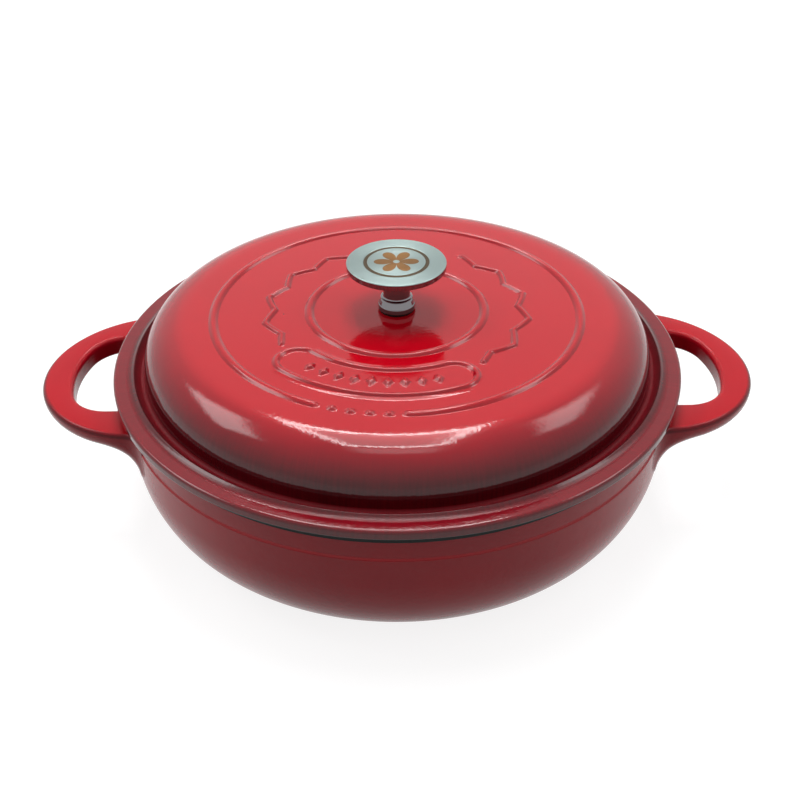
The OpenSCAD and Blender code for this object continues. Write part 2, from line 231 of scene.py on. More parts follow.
class DishSettings(bpy.types.PropertyGroup):
    """All settings of the dish."""
    pan: bpy.props.PointerProperty(type=PanSizes)
    handle: bpy.props.PointerProperty(type=HandleSizes)
    lid: bpy.props.PointerProperty(type=LidSizes)
    pattern: bpy.props.PointerProperty(type=PatternSizes)
    knob: bpy.props.PointerProperty(type=KnobSizes)
    colours: bpy.props.PointerProperty(type=DishColours)


# Profiles and surfaces

MM = 0.001
# Distance from a corner to the row that keeps the run beside it flat, and the shortest such run
HOLD = 0.3 * MM
LONG_RUN = 4 * HOLD
# Samples of a curve before it is drawn again in equal steps
CURVE_SAMPLES = 400
# Points closer than this are one point
WELD = 1e-7


def arc(x, y, a, b, start, end, rows=9):
    """Ellipse with half axes a and b about (x, y): x + a cos t, y + b sin t, t in degrees."""
    t = np.radians(np.linspace(start, end, rows))
    return np.stack([x + a * np.cos(t), y + b * np.sin(t)], -1)


def rounding(x, y, r, start, end, rows=9):
    """Circle of radius r about (x, y), from one angle to another in degrees."""
    return arc(x, y, r, r, start, end, rows)


def superellipse(x, y, a, b, start, end, rows):
    """Curve of power 2.5 about (x, y): x + a cos(t)^0.8 and y + b sin(t)^0.8, in equal steps."""
    t = np.radians(np.linspace(start, end, CURVE_SAMPLES))
    curve = np.stack([x + a * np.abs(np.cos(t)) ** 0.8, y + b * np.abs(np.sin(t)) ** 0.8], -1)
    return evenly(curve, rows)


def evenly(curve, rows):
    """Curve drawn again with equal steps of its length."""
    way = np.concatenate([[0], np.cumsum(np.linalg.norm(np.diff(curve, axis=0), axis=1))])
    share = np.linspace(0, way[-1], rows)
    return np.stack([np.interp(share, way, curve[:, k]) for k in (0, 1)], -1)


def line(*points):
    """Straight run of profile points."""
    return np.array(points, float)


def held(profile):
    """Profile with an extra row just inside both ends of each long run, which keeps it flat."""
    step = np.diff(profile, axis=0)
    size = np.linalg.norm(step, axis=1, keepdims=True)
    unit = step / np.maximum(size, 1e-12)
    keep = size[:, 0] > LONG_RUN
    rows = np.stack([profile[:-1], profile[:-1] + unit * HOLD, profile[1:] - unit * HOLD], 1)
    used = np.stack([np.ones_like(keep), keep, keep], 1)
    return np.concatenate([rows[used], profile[-1:]])


def smooth(x, low, high):
    """Smooth step: 0 below low, 1 above high, 3t^2 - 2t^3 between them."""
    t = np.clip((x - low) / (high - low), 0, 1)
    return t * t * (3 - 2 * t)


def turn_angles(columns):
    """Equal angles round a full turn."""
    return np.arange(columns) * (2 * math.pi / columns)


def lathe(profile, angles):
    """Surface of revolution: each (radius, height) row of the profile carried round +Z."""
    r, z = profile[:, :1], profile[:, 1:]
    flat = np.broadcast_to(z, (len(profile), len(angles)))
    return np.stack([r * np.cos(angles), r * np.sin(angles), flat], -1)


def grid_faces(rows, columns, close_rows):
    """Quads between neighbouring rows and columns; the columns always close round."""
    strips = rows if close_rows else rows - 1
    i, j = np.meshgrid(np.arange(strips), np.arange(columns), indexing="ij")
    down, right = (i + 1) % rows, (j + 1) % columns
    return np.stack([i * columns + j, i * columns + right, down * columns + right,
                     down * columns + j], -1).reshape(-1, 4)


def faces_outward(points, faces):
    """True where the volume under the faces, summed over corner triples, comes out positive."""
    a, b, c, d = (points[faces[:, k]] for k in range(4))
    return np.sum(a * np.cross(b, c) + a * np.cross(c, d)) > 0


def weld(mesh):
    """Merges the points that meet at a pole."""
    work = bmesh.new()
    work.from_mesh(mesh)
    bmesh.ops.remove_doubles(work, verts=work.verts, dist=WELD)
    work.to_mesh(mesh)
    work.free()


def span_of(node):
    """Lowest and highest point of a CAD node, in metres."""
    low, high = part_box(node)
    return low.z, high.z


def add_piece(name, body, nodes, points, materials, tone=None, zones=None,
              close_rows=False, caps=False):
    """Object on a grid of points. Tone is a number for each point that the enamel reads, zones
    gives each row its material, and caps shut the two open ends of a tube."""
    rows, columns = points.shape[:2]
    flat = points.reshape(-1, 3)
    quads = grid_faces(rows, columns, close_rows)
    ends = [np.arange(columns)[::-1], np.arange(columns) + (rows - 1) * columns] if caps else []
    if not faces_outward(flat, quads):
        quads = quads[:, ::-1]
        ends = [end[::-1] for end in ends]
    mesh = bpy.data.meshes.new(name)
    mesh.from_pydata(flat, [], quads.tolist() + [end.tolist() for end in ends])
    mesh.polygons.foreach_set("use_smooth", np.ones(len(mesh.polygons), bool))
    if tone is not None:
        shade = mesh.attributes.new("tone", "FLOAT", "POINT")
        shade.data.foreach_set("value", np.broadcast_to(tone, (rows, columns)).ravel())
    if zones is not None:
        index = np.zeros(len(mesh.polygons), int)
        index[:len(quads)] = np.repeat(zones[:len(quads) // columns], columns)
        mesh.polygons.foreach_set("material_index", index)
    weld(mesh)
    mesh.update()
    for material in materials:
        mesh.materials.append(material)
    piece = bpy.data.objects.new(name, mesh)
    bpy.context.scene.collection.objects.link(piece)
    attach(piece, body)
    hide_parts(*nodes)


# Shader nodes

def fill_socket(tree, node, key, value):
    """Gives a node's input a value, or links it to an output."""
    if isinstance(value, bpy.types.NodeSocket):
        tree.links.new(value, node.inputs[key])
    else:
        node.inputs[key].default_value = value


def put(tree, kind, sockets=None, **settings):
    """New node with its settings, and with each socket given a value or linked to an output."""
    node = tree.nodes.new(kind)
    for key, value in settings.items():
        setattr(node, key, value)
    for key, value in (sockets or {}).items():
        fill_socket(tree, node, key, value)
    return node


def sums(tree, operation, first, second=0.0, third=0.0):
    """Result of a Math node."""
    return put(tree, "ShaderNodeMath", {0: first, 1: second, 2: third},
               operation=operation).outputs[0]


def remap(tree, value, low, high, to_low=0.0, to_high=1.0, soft=True):
    """Value carried from one range to another, with a smooth or a straight course."""
    ends = {"From Min": low, "From Max": high, "To Min": to_low, "To Max": to_high}
    return put(tree, "ShaderNodeMapRange", {"Value": value, **ends},
               interpolation_type="SMOOTHSTEP" if soft else "LINEAR").outputs["Result"]


def blend(tree, factor, first, second):
    """Colour between two colours."""
    node = put(tree, "ShaderNodeMix", data_type="RGBA")
    for key, value in (("Factor", factor), (6, first), (7, second)):
        fill_socket(tree, node, key, value)
    return node.outputs[2]


def noise(tree, vector, scale, detail=2.0, roughness=0.5):
    """Noise value at a scale in cycles per metre."""
    return put(tree, "ShaderNodeTexNoise", {"Vector": vector, "Scale": scale, "Detail": detail,
                                            "Roughness": roughness}).outputs["Fac"]


def object_place(tree):
    """Object coordinates, and their three parts."""
    place = put(tree, "ShaderNodeTexCoord").outputs["Object"]
    return place, put(tree, "ShaderNodeSeparateXYZ", {"Vector": place}).outputs


def flat_radius(tree, axis):
    """Distance from the upright axis: the root of x x + y y."""
    square = sums(tree, "MULTIPLY", axis["Y"], axis["Y"])
    return sums(tree, "SQRT", sums(tree, "MULTIPLY_ADD", axis["X"], axis["X"], square))


def scaled(shade, *shares):
    """Colour with its red, green and blue each times a share."""
    return (*(part * share for part, share in zip(shade, shares)), 1)


def new_group(name, inputs, outputs):
    """Empty node group with float or colour sockets: its tree, input node and output node."""
    tree = bpy.data.node_groups.new(name, "ShaderNodeTree")
    for way, sockets in (("INPUT", inputs), ("OUTPUT", outputs)):
        for key, kind in sockets.items():
            tree.interface.new_socket(key, in_out=way, socket_type=kind)
    return tree, put(tree, "NodeGroupInput"), put(tree, "NodeGroupOutput")


# Cycles of each enamel noise per metre, and its detail
PEEL, WAVE, RUN, DRIFT = (520.0, 2.0), (110.0, 1.0), (900.0, 2.0), (26.0, 3.0)
# Cells of the pinholes per metre, the share of cells without one, and the largest hole in a cell
PINHOLE_CELLS, PINHOLE_FREE, PINHOLE_R = 70.0, 0.985, 0.04
# Radius that makes a length of the angle round the dish, and the stretch of the runs down its sides
RUN_ROUND, RUN_DOWN = 0.13, 0.08
# Parts of a noise's range that are used, a wide one and a narrow one
WIDE, NARROW = (0.2, 0.8), (0.3, 0.7)


def enamel_skin_group():
    """Surface of a fired enamel: orange peel and slow waves as heights, fine runs down the sides,
    slow colour drift, and scattered pinholes."""
    outputs = {key: "NodeSocketFloat" for key in ("Peel", "Wave", "Run", "Drift", "Pinhole")}
    tree, _, out = new_group("enamel_skin", {}, outputs)
    place, axis = object_place(tree)
    around = sums(tree, "MULTIPLY", sums(tree, "ARCTAN2", axis["Y"], axis["X"]), RUN_ROUND)
    down = sums(tree, "MULTIPLY", axis["Z"], RUN_DOWN)
    sheet = put(tree, "ShaderNodeCombineXYZ", {"X": around, "Y": down}).outputs[0]
    dots = put(tree, "ShaderNodeTexVoronoi", {"Vector": place, "Scale": PINHOLE_CELLS}).outputs
    chosen = put(tree, "ShaderNodeSeparateColor", {"Color": dots["Color"]}).outputs[0]
    radius = remap(tree, chosen, PINHOLE_FREE, 1.0, 0.0, PINHOLE_R, soft=False)
    for key, value in (("Peel", noise(tree, place, *PEEL)), ("Wave", noise(tree, place, *WAVE)),
                       ("Run", noise(tree, sheet, *RUN)), ("Drift", noise(tree, place, *DRIFT)),
                       ("Pinhole", sums(tree, "LESS_THAN", dots["Distance"], radius))):
        tree.links.new(value, out.inputs[key])
    return tree


# Half range of the drift and of the runs in the enamel's tone
DRIFT_TONE, RUN_TONE = 0.04, 0.05


def enamel_tone_group():
    """Shaded red: dark, deep and bright enamel mixed by the tone of the surface, which drifts a
    little, with faint runs where it is deep and a dark dot at each pinhole."""
    inputs = {key: "NodeSocketFloat" for key in ("Tone", "Drift", "Run", "Pinhole")}
    inputs |= {key: "NodeSocketColor" for key in ("Dark", "Deep", "Bright")}
    tree, source, out = new_group("enamel_tone", inputs, {"Color": "NodeSocketColor"})
    given = source.outputs
    steep = remap(tree, given["Tone"], 0.75, 0.35)
    drift = remap(tree, given["Drift"], *WIDE, -DRIFT_TONE, DRIFT_TONE)
    runs = remap(tree, given["Run"], *WIDE, -RUN_TONE, RUN_TONE)
    runs = sums(tree, "MULTIPLY", runs, steep)
    tone = sums(tree, "ADD", given["Tone"], sums(tree, "ADD", drift, runs))
    base = blend(tree, remap(tree, tone, 0.0, 0.5, soft=False), given["Dark"], given["Deep"])
    base = blend(tree, remap(tree, tone, 0.5, 1.0, soft=False), base, given["Bright"])
    tree.links.new(blend(tree, given["Pinhole"], base, given["Dark"]), out.inputs["Color"])
    return tree


# Marks and streaks of turning: cycles per metre, detail and roughness
MARKS, STREAKS = (3500.0, 3.0, 0.7), (1300.0, 2.0, 0.5)


def turned_steel_group():
    """Marks of turning: noise stretched along the turn, as a height and as a streak value."""
    outputs = {key: "NodeSocketFloat" for key in ("Height", "Streak")}
    tree, _, out = new_group("turned_steel", {}, outputs)
    axis = object_place(tree)[1]
    across = put(tree, "ShaderNodeCombineXYZ", {"X": flat_radius(tree, axis), "Y": axis["Z"]})
    tree.links.new(noise(tree, across.outputs[0], *MARKS), out.inputs["Height"])
    tree.links.new(noise(tree, across.outputs[0], *STREAKS), out.inputs["Streak"])
    return tree


def grouped(tree, name, maker, sockets=None):
    """Outputs of a node with a group that is made once."""
    made = bpy.data.node_groups.get(name) or maker()
    return put(tree, "ShaderNodeGroup", sockets, node_tree=made).outputs


def new_material(name):
    """Material and its empty tree."""
    material = bpy.data.materials.new(name)
    material.use_nodes = True
    material.node_tree.nodes.clear()
    return material, material.node_tree


def finish_material(tree, sockets):
    """Principled shader with the given sockets, joined to the output."""
    shader = put(tree, "ShaderNodeBsdfPrincipled", sockets)
    put(tree, "ShaderNodeOutputMaterial", {"Surface": shader.outputs[0]})


def bumped(tree, height, strength, distance):
    """Normal that a height turns."""
    sockets = {"Height": height, "Strength": strength, "Distance": distance}
    return put(tree, "ShaderNodeBump", sockets).outputs["Normal"]


# Red enamels: range of roughness, share of the waves on bright faces, IOR and orange peel. A range
# that crosses 0.274 leaves outlines in a denoised render.
RED_ENAMELS = {
    "pan_red_enamel": ((0.2, 0.26), 0.5, 1.3, 0.75),
    "ledge_red_enamel": ((0.55, 0.65), 0.5, 1.5, 0.34),
    "handle_red_enamel": ((0.2, 0.26), 0.5, 1.28, 0.34),
    "lid_red_enamel": ((0.06, 0.11), 0.25, 1.42, 0.34),
    "groove_red_enamel": ((0.55, 0.65), 0.25, 1.3, 0.34),
    "cove_red_enamel": ((0.18, 0.24), 0.25, 1.34, 0.34),
}
# Share of the waves on deep faces, and the height of an enamel's bump
DEEP_WAVES, ENAMEL_BUMP = 0.6, 0.12 * MM


def red_enamel(name, colours):
    """Glossy red enamel whose shade follows the tone of the surface, with the painted light and
    shade that the tone carries. The waves are flatter where the enamel is bright, on the faces
    that it lay level on."""
    rough, level_waves, ior, peel = RED_ENAMELS[name]
    material, tree = new_material(name)
    skin = grouped(tree, "enamel_skin", enamel_skin_group)
    tone = put(tree, "ShaderNodeAttribute", attribute_name="tone").outputs["Fac"]
    given = {"Tone": tone, **{key: skin[key] for key in ("Drift", "Run", "Pinhole")}}
    given |= {key.title(): getattr(colours, key) for key in ("dark", "deep", "bright")}
    red = grouped(tree, "enamel_tone", enamel_tone_group, given)
    share = remap(tree, tone, 1.0, 0.8, level_waves, DEEP_WAVES)
    waves = sums(tree, "MULTIPLY", skin["Wave"], share)
    height = sums(tree, "MULTIPLY_ADD", skin["Peel"], peel, waves)
    finish_material(tree, {
        "Base Color": red["Color"], "IOR": ior,
        "Roughness": remap(tree, skin["Drift"], *WIDE, *rough),
        "Normal": bumped(tree, height, 1.0, ENAMEL_BUMP)})
    return material


def cream_enamel(name, colours):
    """Pale inside enamel with faint drift and dark pinholes."""
    material, tree = new_material(name)
    skin = grouped(tree, "enamel_skin", enamel_skin_group)
    cream = tuple(colours.inside)
    warm = blend(tree, remap(tree, skin["Drift"], *NARROW), cream, scaled(cream, 1, 0.96, 0.9))
    finish_material(tree, {
        "Base Color": blend(tree, skin["Pinhole"], warm, tuple(colours.rim)), "IOR": 1.5,
        "Roughness": remap(tree, skin["Drift"], *WIDE, 0.18, 0.26),
        "Normal": bumped(tree, skin["Wave"], 1.0, 0.1 * MM)})
    return material


# Grain and worn spots of the matt black: cycles per metre and detail
GRAIN, WORN = (1500.0, 3.0), (160.0, 3.0)


def matt_black(name, colours):
    """Matt black enamel or silicone with a grain and lighter worn spots."""
    material, tree = new_material(name)
    place = object_place(tree)[0]
    grain = noise(tree, place, *GRAIN)
    worn = remap(tree, noise(tree, place, *WORN), 0.55, 0.8)
    black = tuple(colours.rim)
    finish_material(tree, {
        "Base Color": blend(tree, worn, black, scaled(black, 4, 4, 4)), "IOR": 1.25,
        "Roughness": remap(tree, grain, *NARROW, 0.4, 0.6),
        "Normal": bumped(tree, grain, 0.3, 0.2 * MM)})
    return material


# Half the number of etched leaves, the power that rounds them, and the reach between two of them
HALF_LEAVES, LEAF_ROUND, LEAF_ROOT = 3.0, 0.55, 0.2
# Half width of the soft edge of the etched leaves and of the etched ring
LEAF_SOFT, RING_SOFT = 0.15 * MM, 0.1 * MM
# Radii between which the plain heart of the rosette ends
HEART = (1.5 * MM, 1.8 * MM)


def etched_masks(tree, knob):
    """Masks of the etching on the knob's top: a rosette of six leaves whose reach follows the
    cosine of three times the angle, and a ring in the groove."""
    axis = object_place(tree)[1]
    radius = flat_radius(tree, axis)
    turn = sums(tree, "MULTIPLY", sums(tree, "ARCTAN2", axis["Y"], axis["X"]), HALF_LEAVES)
    leaf = sums(tree, "POWER", sums(tree, "ABSOLUTE", sums(tree, "COSINE", turn)), LEAF_ROUND)
    reach = remap(tree, leaf, 0.0, 1.0, LEAF_ROOT * knob.rosette_r, knob.rosette_r, soft=False)
    beyond = sums(tree, "SUBTRACT", radius, reach)
    leaves = remap(tree, beyond, LEAF_SOFT, -LEAF_SOFT)
    rosette = sums(tree, "MULTIPLY", leaves, remap(tree, radius, *HEART))
    half = knob.groove_w / 2
    apart = sums(tree, "ABSOLUTE", sums(tree, "SUBTRACT", radius, knob.groove_r - half))
    ring = remap(tree, apart, half + RING_SOFT, half - RING_SOFT)
    top = sums(tree, "GREATER_THAN", axis["Z"], knob.disc_z - 0.5 * MM)
    return [sums(tree, "MULTIPLY", mask, top) for mask in (rosette, ring)]


def turned_steel(name, shade, finish, drawn, knob=None, etched=None):
    """Turned stainless steel with streaks round the axis and a highlight drawn out across them,
    and with the knob's etching in its own colour where that is given."""
    material, tree = new_material(name)
    marks = grouped(tree, "turned_steel", turned_steel_group)
    base = tuple(shade)
    tint = blend(tree, remap(tree, marks["Streak"], *NARROW), scaled(base, 0.98, 0.98, 0.98), base)
    rough = remap(tree, marks["Streak"], *NARROW, *finish)
    if etched is not None:
        rosette, ring = etched_masks(tree, knob)
        tint = blend(tree, rosette, tint, tuple(etched))
        tint = blend(tree, ring, tint, scaled(etched, 0.4, 0.55, 0.9))
        rough = sums(tree, "MULTIPLY_ADD", sums(tree, "MAXIMUM", rosette, ring), 0.2, rough)
    turn = put(tree, "ShaderNodeTangent", direction_type="RADIAL", axis="Z").outputs[0]
    finish_material(tree, {
        "Base Color": tint, "Metallic": 1.0, "Roughness": rough, "Anisotropic": drawn,
        "Anisotropic Rotation": 0.25, "Tangent": turn,
        "Normal": bumped(tree, marks["Height"], 0.004, 0.1 * MM)})
    return material


# Pan and handles

# Zones of the pan and of the lid, as places in their lists of materials
RED, BLACK, CREAM = range(3)
LEDGE = GROOVE = 3
COVE = 4
# Rounding of the ledge's corners: in from the wall, near the corner and away from it
LEDGE_IN, LEDGE_NEAR, LEDGE_FAR = 0.12 * MM, 0.1 * MM, 0.2 * MM
# Depths inside the rim where the black enamel ends and the cream starts
BLACK_IN, CREAM_IN = 4 * MM, 4.6 * MM
# Tone of the pan's foot, its rise up to the rim, its rise on the ledge that paints a highlight
# there, and the distances from the ledge over which that ends
PAN_TONE, PAN_RISE, LEDGE_PAINTED_HIGHLIGHT, LEDGE_SPAN = 0.64, 0.08, 0.16, (0.3 * MM, 0.9 * MM)
# Columns round the pan
PAN_COLUMNS = 320


def pan_profile(pan):
    """Rows of the pan's section from the middle of its underside, round the rim, to the middle of
    its floor, and the material of each row: red outside, black rim, cream inside."""
    band_r, band_z = pan.wall_r - pan.band_step, pan.rim_z - pan.band_h
    ledge_z = band_z + pan.band_step
    in_r, edge = band_r - pan.wall_t, pan.rim_edge
    edge_z = pan.rim_z - edge
    floor_r = pan.base_r - pan.wall_t / 2
    low = np.concatenate([
        held(line((0, 0), (pan.base_r, 0)))[:-1],
        arc(pan.base_r, pan.corner_z, pan.wall_r - pan.base_r, pan.corner_z, -90, 0, rows=64),
        held(line((pan.wall_r, pan.corner_z), (pan.wall_r, band_z - LEDGE_FAR),
                  (pan.wall_r - LEDGE_IN, band_z + LEDGE_NEAR),
                  (band_r + LEDGE_IN, ledge_z - LEDGE_NEAR), (band_r, ledge_z + LEDGE_FAR),
                  (band_r, pan.rim_z - pan.black_rim_and_shadow_h - HOLD)))[1:]])
    # Black rows below the rim: partly real black enamel, partly painted shadow under the lid's
    # flange.
    rim = np.concatenate([
        line((band_r, pan.rim_z - pan.black_rim_and_shadow_h)), rounding(band_r - edge, edge_z, edge, 0, 90),
        rounding(in_r + edge, edge_z, edge, 90, 180), line((in_r, pan.rim_z - BLACK_IN))])
    inner = np.concatenate([
        held(line((in_r, pan.rim_z - CREAM_IN), (in_r, band_z))),
        arc(floor_r, pan.corner_z, pan.wall_r - pan.wall_t / 2 - pan.base_r,
            pan.corner_z - pan.base_t, 0, -90, rows=48),
        held(line((floor_r, pan.base_t), (0, pan.base_t)))[1:]])
    zones = np.repeat([RED, BLACK, CREAM], [len(low), len(rim), len(inner)])
    return np.concatenate([low, rim, inner]), zones


def fillet(distance, radius):
    """Rise of a round fillet at a distance from the wall: radius less the height of its circle."""
    d = np.clip(radius - distance, 0, radius)
    return radius - np.sqrt(radius ** 2 - d ** 2)


# Depth of a handle's roots in the wall, the length that flares, and the rows along it and the loop
ROOT_IN, FLARE_L, FLARE_ROWS, LOOP_ROWS = 1.5 * MM, 9 * MM, 16, 44
# Rows round each corner of the bar, its lower inner rounding, and the fillet of its top at the wall
BAR_ROWS, HOLE_LOW_EDGE, TOP_FILLET = 8, 1.2 * MM, 2.5 * MM
# Tone of a handle's sides, its rise on faces that look up (painted light on the top and painted
# shade on the sides), the sines of the slope between which it rises, and its fall on the outer
# upper edge
BAR_TONE, BAR_PAINTED_LIGHT, BAR_SLOPES, BAR_EDGE_FALL = 0.62, 0.32, (0.3, 0.98), 0.5
# Degrees where the round corner of the hand hole starts
HOLE_CORNER = 88


def handle_edges(pan, handle):
    """Plan of one half of a handle as matched points on its inner and outer edge, from inside the
    wall to the end of the loop. Near the wall both edges flare by a fillet of their distance from
    it."""
    centre = handle.reach - handle.outline_r
    quarter = np.linspace(0, math.pi / 2, FLARE_ROWS)
    near = np.concatenate([line(-ROOT_IN), FLARE_L * (1 - np.cos(quarter))])
    ring = pan.wall_r + near
    flare = fillet(np.maximum(near, 0), handle.side_fillet)
    in_y = handle.hole_half - flare
    in_near = np.stack([np.sqrt(ring ** 2 - in_y ** 2), in_y], -1)
    out_x = (ring ** 2 - handle.outline_r ** 2 + centre ** 2) / (2 * centre)
    out_y = np.sqrt(ring ** 2 - out_x ** 2) + flare
    out_near = np.stack([np.sqrt(ring ** 2 - out_y ** 2), out_y], -1)
    side_x = handle.reach - handle.bar_w - handle.hole_side_r
    corner_r = handle.hole_corner_r
    corner_y = handle.hole_half - corner_r
    corner_x = side_x + math.sqrt((handle.hole_side_r - corner_r) ** 2 - corner_y ** 2)
    turn = math.degrees(math.atan2(corner_y, corner_x - side_x))
    in_far = evenly(np.concatenate([
        in_near[-1:], rounding(corner_x, corner_y, corner_r, HOLE_CORNER, turn, rows=120),
        rounding(side_x, 0, handle.hole_side_r, turn, 0, rows=120)[1:]]), LOOP_ROWS)
    start = math.degrees(math.atan2(out_near[-1, 1], out_near[-1, 0] - centre))
    out_far = rounding(centre, 0, handle.outline_r, start, 0, LOOP_ROWS)
    return np.concatenate([in_near, in_far[1:]]), np.concatenate([out_near, out_far[1:]])


def handle_surface(pan, handle, side):
    """Loop handle: a rounded rectangle between the inner and the outer edge, carried from one root
    to the other. Its underside sweeps down into the wall by a fillet. Tone follows how far a face
    looks up, which paints light on the top and shade on the sides."""
    inner, outer = handle_edges(pan, handle)
    flip = np.array([1, -1])
    inner = np.concatenate([inner, inner[-2::-1] * flip])
    outer = np.concatenate([outer, outer[-2::-1] * flip])
    middle, across = (inner + outer) / 2, outer - inner
    half = np.linalg.norm(across, axis=1) / 2
    across = across / (2 * half[:, None])
    away = np.linalg.norm(middle, axis=1) - pan.wall_r
    top = np.full_like(half, pan.rim_z - handle.drop) + fillet(away, TOP_FILLET)
    low = pan.rim_z - handle.drop - handle.bar_t - fillet(away, handle.low_fillet)
    corners = ((1, 1, handle.top_edge, 0), (-1, 1, handle.hole_edge, 90),
               (-1, -1, HOLE_LOW_EDGE, 180), (1, -1, handle.low_edge, 270))
    ring, up = [], []
    for sign_x, sign_z, size, begin in corners:
        t = np.radians(np.linspace(begin, begin + 90, BAR_ROWS))
        level = top if sign_z > 0 else low
        ring.append(np.stack([sign_x * (half[:, None] - size) + size * np.cos(t),
                              level[:, None] - sign_z * size + size * np.sin(t)], -1))
        # Painted light and shade: the tone rises on the faces that look up.
        up.append(BAR_TONE + BAR_PAINTED_LIGHT * smooth(np.sin(t), *BAR_SLOPES))
    up[0] = up[0] - BAR_EDGE_FALL * np.sin(np.linspace(0, math.pi, BAR_ROWS))
    ring, tone = np.concatenate(ring, 1), np.concatenate(up)
    plan = middle[:, None] + across[:, None] * ring[..., :1]
    points = np.stack([side * plan[..., 0], plan[..., 1], ring[..., 1]], -1)
    return points, tone


class CASSEROLE_OT_pan(bpy.types.Operator):
    """Make the pan and its two loop handles."""
    bl_idname = "casserole.pan"
    bl_label = "Pan"

    def execute(self, context):
        settings = context.scene.casserole
        pan, handle, colours = settings.pan, settings.handle, settings.colours
        materials = [red_enamel("pan_red_enamel", colours),
                     matt_black("rim_black_enamel", colours),
                     cream_enamel("inside_cream_enamel", colours),
                     red_enamel("ledge_red_enamel", colours)]
        handle_red = red_enamel("handle_red_enamel", colours)
        profile, zones = pan_profile(pan)
        height = profile[:, 1:]
        tone = PAN_TONE + PAN_RISE * smooth(height, 0.0, pan.rim_z)
        ledge = np.abs(height - (pan.rim_z - pan.band_h + pan.band_step / 2))
        # Painted highlight: the tone rises on the ledge as if light catches its step.
        tone = tone + LEDGE_PAINTED_HIGHLIGHT * (1 - smooth(ledge, *LEDGE_SPAN))
        zones[(zones == RED) & (ledge[:, 0] < pan.band_step / 2)] = LEDGE
        add_piece("pan_bowl", "pan", ["pan"],
                  lathe(profile, turn_angles(PAN_COLUMNS)), materials, tone, zones)
        for name, side in (("handle_right", 1), ("handle_left", -1)):
            points, tone = handle_surface(pan, handle, side)
            add_piece(name, "pan", ["pan"], points, [handle_red], tone,
                      caps=True)
        return {"FINISHED"}


# Lid

# Half teeth in the sector of the panel, and the columns to a half tooth there and in the rest
PANEL_STEPS, NEAR_COLUMNS, FAR_COLUMNS = 10, 20, 9
# Width of a ridge with the enamel that fills the corner at its foot, as a share of its bare width,
# and the same for the panel's ridge
FOOT = 1.15
PANEL_FOOT = 1.25 * FOOT
# Steepness of a lozenge's sides
LOZENGE_STEEP = 2.2
# Bevel of the screw's hole in the lid
HOLE_BEVEL = 0.3 * MM


def pattern_angles(pattern):
    """Angles from the pattern's front for the lid's columns: every zigzag point falls on a column,
    and in the sector of the panel they are about twice as close as in the rest."""
    step = math.pi / pattern.teeth
    fine = PANEL_STEPS / 2 * step
    rest = 2 * pattern.teeth - PANEL_STEPS
    near = np.linspace(-fine, fine, PANEL_STEPS * NEAR_COLUMNS, endpoint=False)
    far = np.linspace(fine, 2 * math.pi - fine, rest * FAR_COLUMNS, endpoint=False)
    return np.concatenate([near, far])


def zigzag_radius(pattern, a):
    """Triangle wave between the tooth tips and roots, with a tip at the front."""
    k = np.mod(np.abs(a) / (math.pi / pattern.teeth), 2)
    return pattern.tooth_out + (pattern.tooth_in - pattern.tooth_out) * (1 - np.abs(1 - k))


def ridge(distance, half):
    """Rounded ridge: 1 on its middle line, 0 at half its width, (1 - (d / half)^2)^1.3 between."""
    return np.clip(1 - (distance / half) ** 2, 0, None) ** 1.3


def from_nearest(a, number, sweep):
    """Angle from the nearest of a number of places that are spread over a sweep about the front."""
    places = (np.arange(1, number + 1) / (number + 1) - 0.5) * sweep
    return a - places[np.argmin(np.abs(a[..., None] - places), -1)]


def lid_relief(pattern, r, a):
    """Height of the pattern at radius r and angle a from its front: the largest of two rings, the
    zigzag, the panel's outline, its lozenges and the studs."""
    x, y = r * np.cos(a), r * np.sin(a)
    side = np.abs(a)

    def from_point(radius, at):
        return np.hypot(x - radius * np.cos(at), np.abs(y) - radius * np.sin(at))

    half = FOOT * pattern.ring_w / 2
    rings = ridge(r - pattern.inner_r, half)
    gap = pattern.opening / 2
    open_ring = np.where(side > gap, np.abs(r - pattern.outer_r),
                         from_point(pattern.outer_r, gap))
    rings = np.maximum(rings, ridge(open_ring, half))
    rise = pattern.tooth_out - pattern.tooth_in
    run = (pattern.tooth_out + pattern.tooth_in) / 2 * math.sin(math.pi / pattern.teeth)
    lean = run / math.hypot(rise, run)
    along = np.abs(r - zigzag_radius(pattern, a)) * lean
    for end, outside in ((pattern.zigzag_start, side < pattern.zigzag_start),
                         (pattern.zigzag_end, side > pattern.zigzag_end)):
        along = np.where(outside, from_point(zigzag_radius(pattern, end), end), along)
    zigzag = ridge(along, FOOT * pattern.tooth_w / 2)
    middle = (pattern.panel_in + pattern.panel_out) / 2
    reach = (pattern.panel_out - pattern.panel_in - pattern.panel_line) / 2
    sweep = pattern.panel_sweep / 2
    inside = np.where(side < sweep, np.abs(r - middle), from_point(middle, sweep))
    panel = ridge(inside - reach, PANEL_FOOT * pattern.panel_line / 2)
    off = from_nearest(a, pattern.lozenges, pattern.panel_sweep)
    u, v = r * np.cos(off) - middle, r * np.sin(off)
    span = np.abs(u) / pattern.lozenge_l + np.abs(v) / pattern.lozenge_w
    lozenge = np.clip(LOZENGE_STEEP * (1 - span), 0, 1)
    off = from_nearest(a, pattern.studs, pattern.opening)
    apart = np.hypot(r * np.cos(off) - pattern.outer_r, r * np.sin(off))
    stud = ridge(apart, FOOT * pattern.stud_r)
    return pattern.height * np.max([rings, zigzag, panel, lozenge, stud], axis=0)


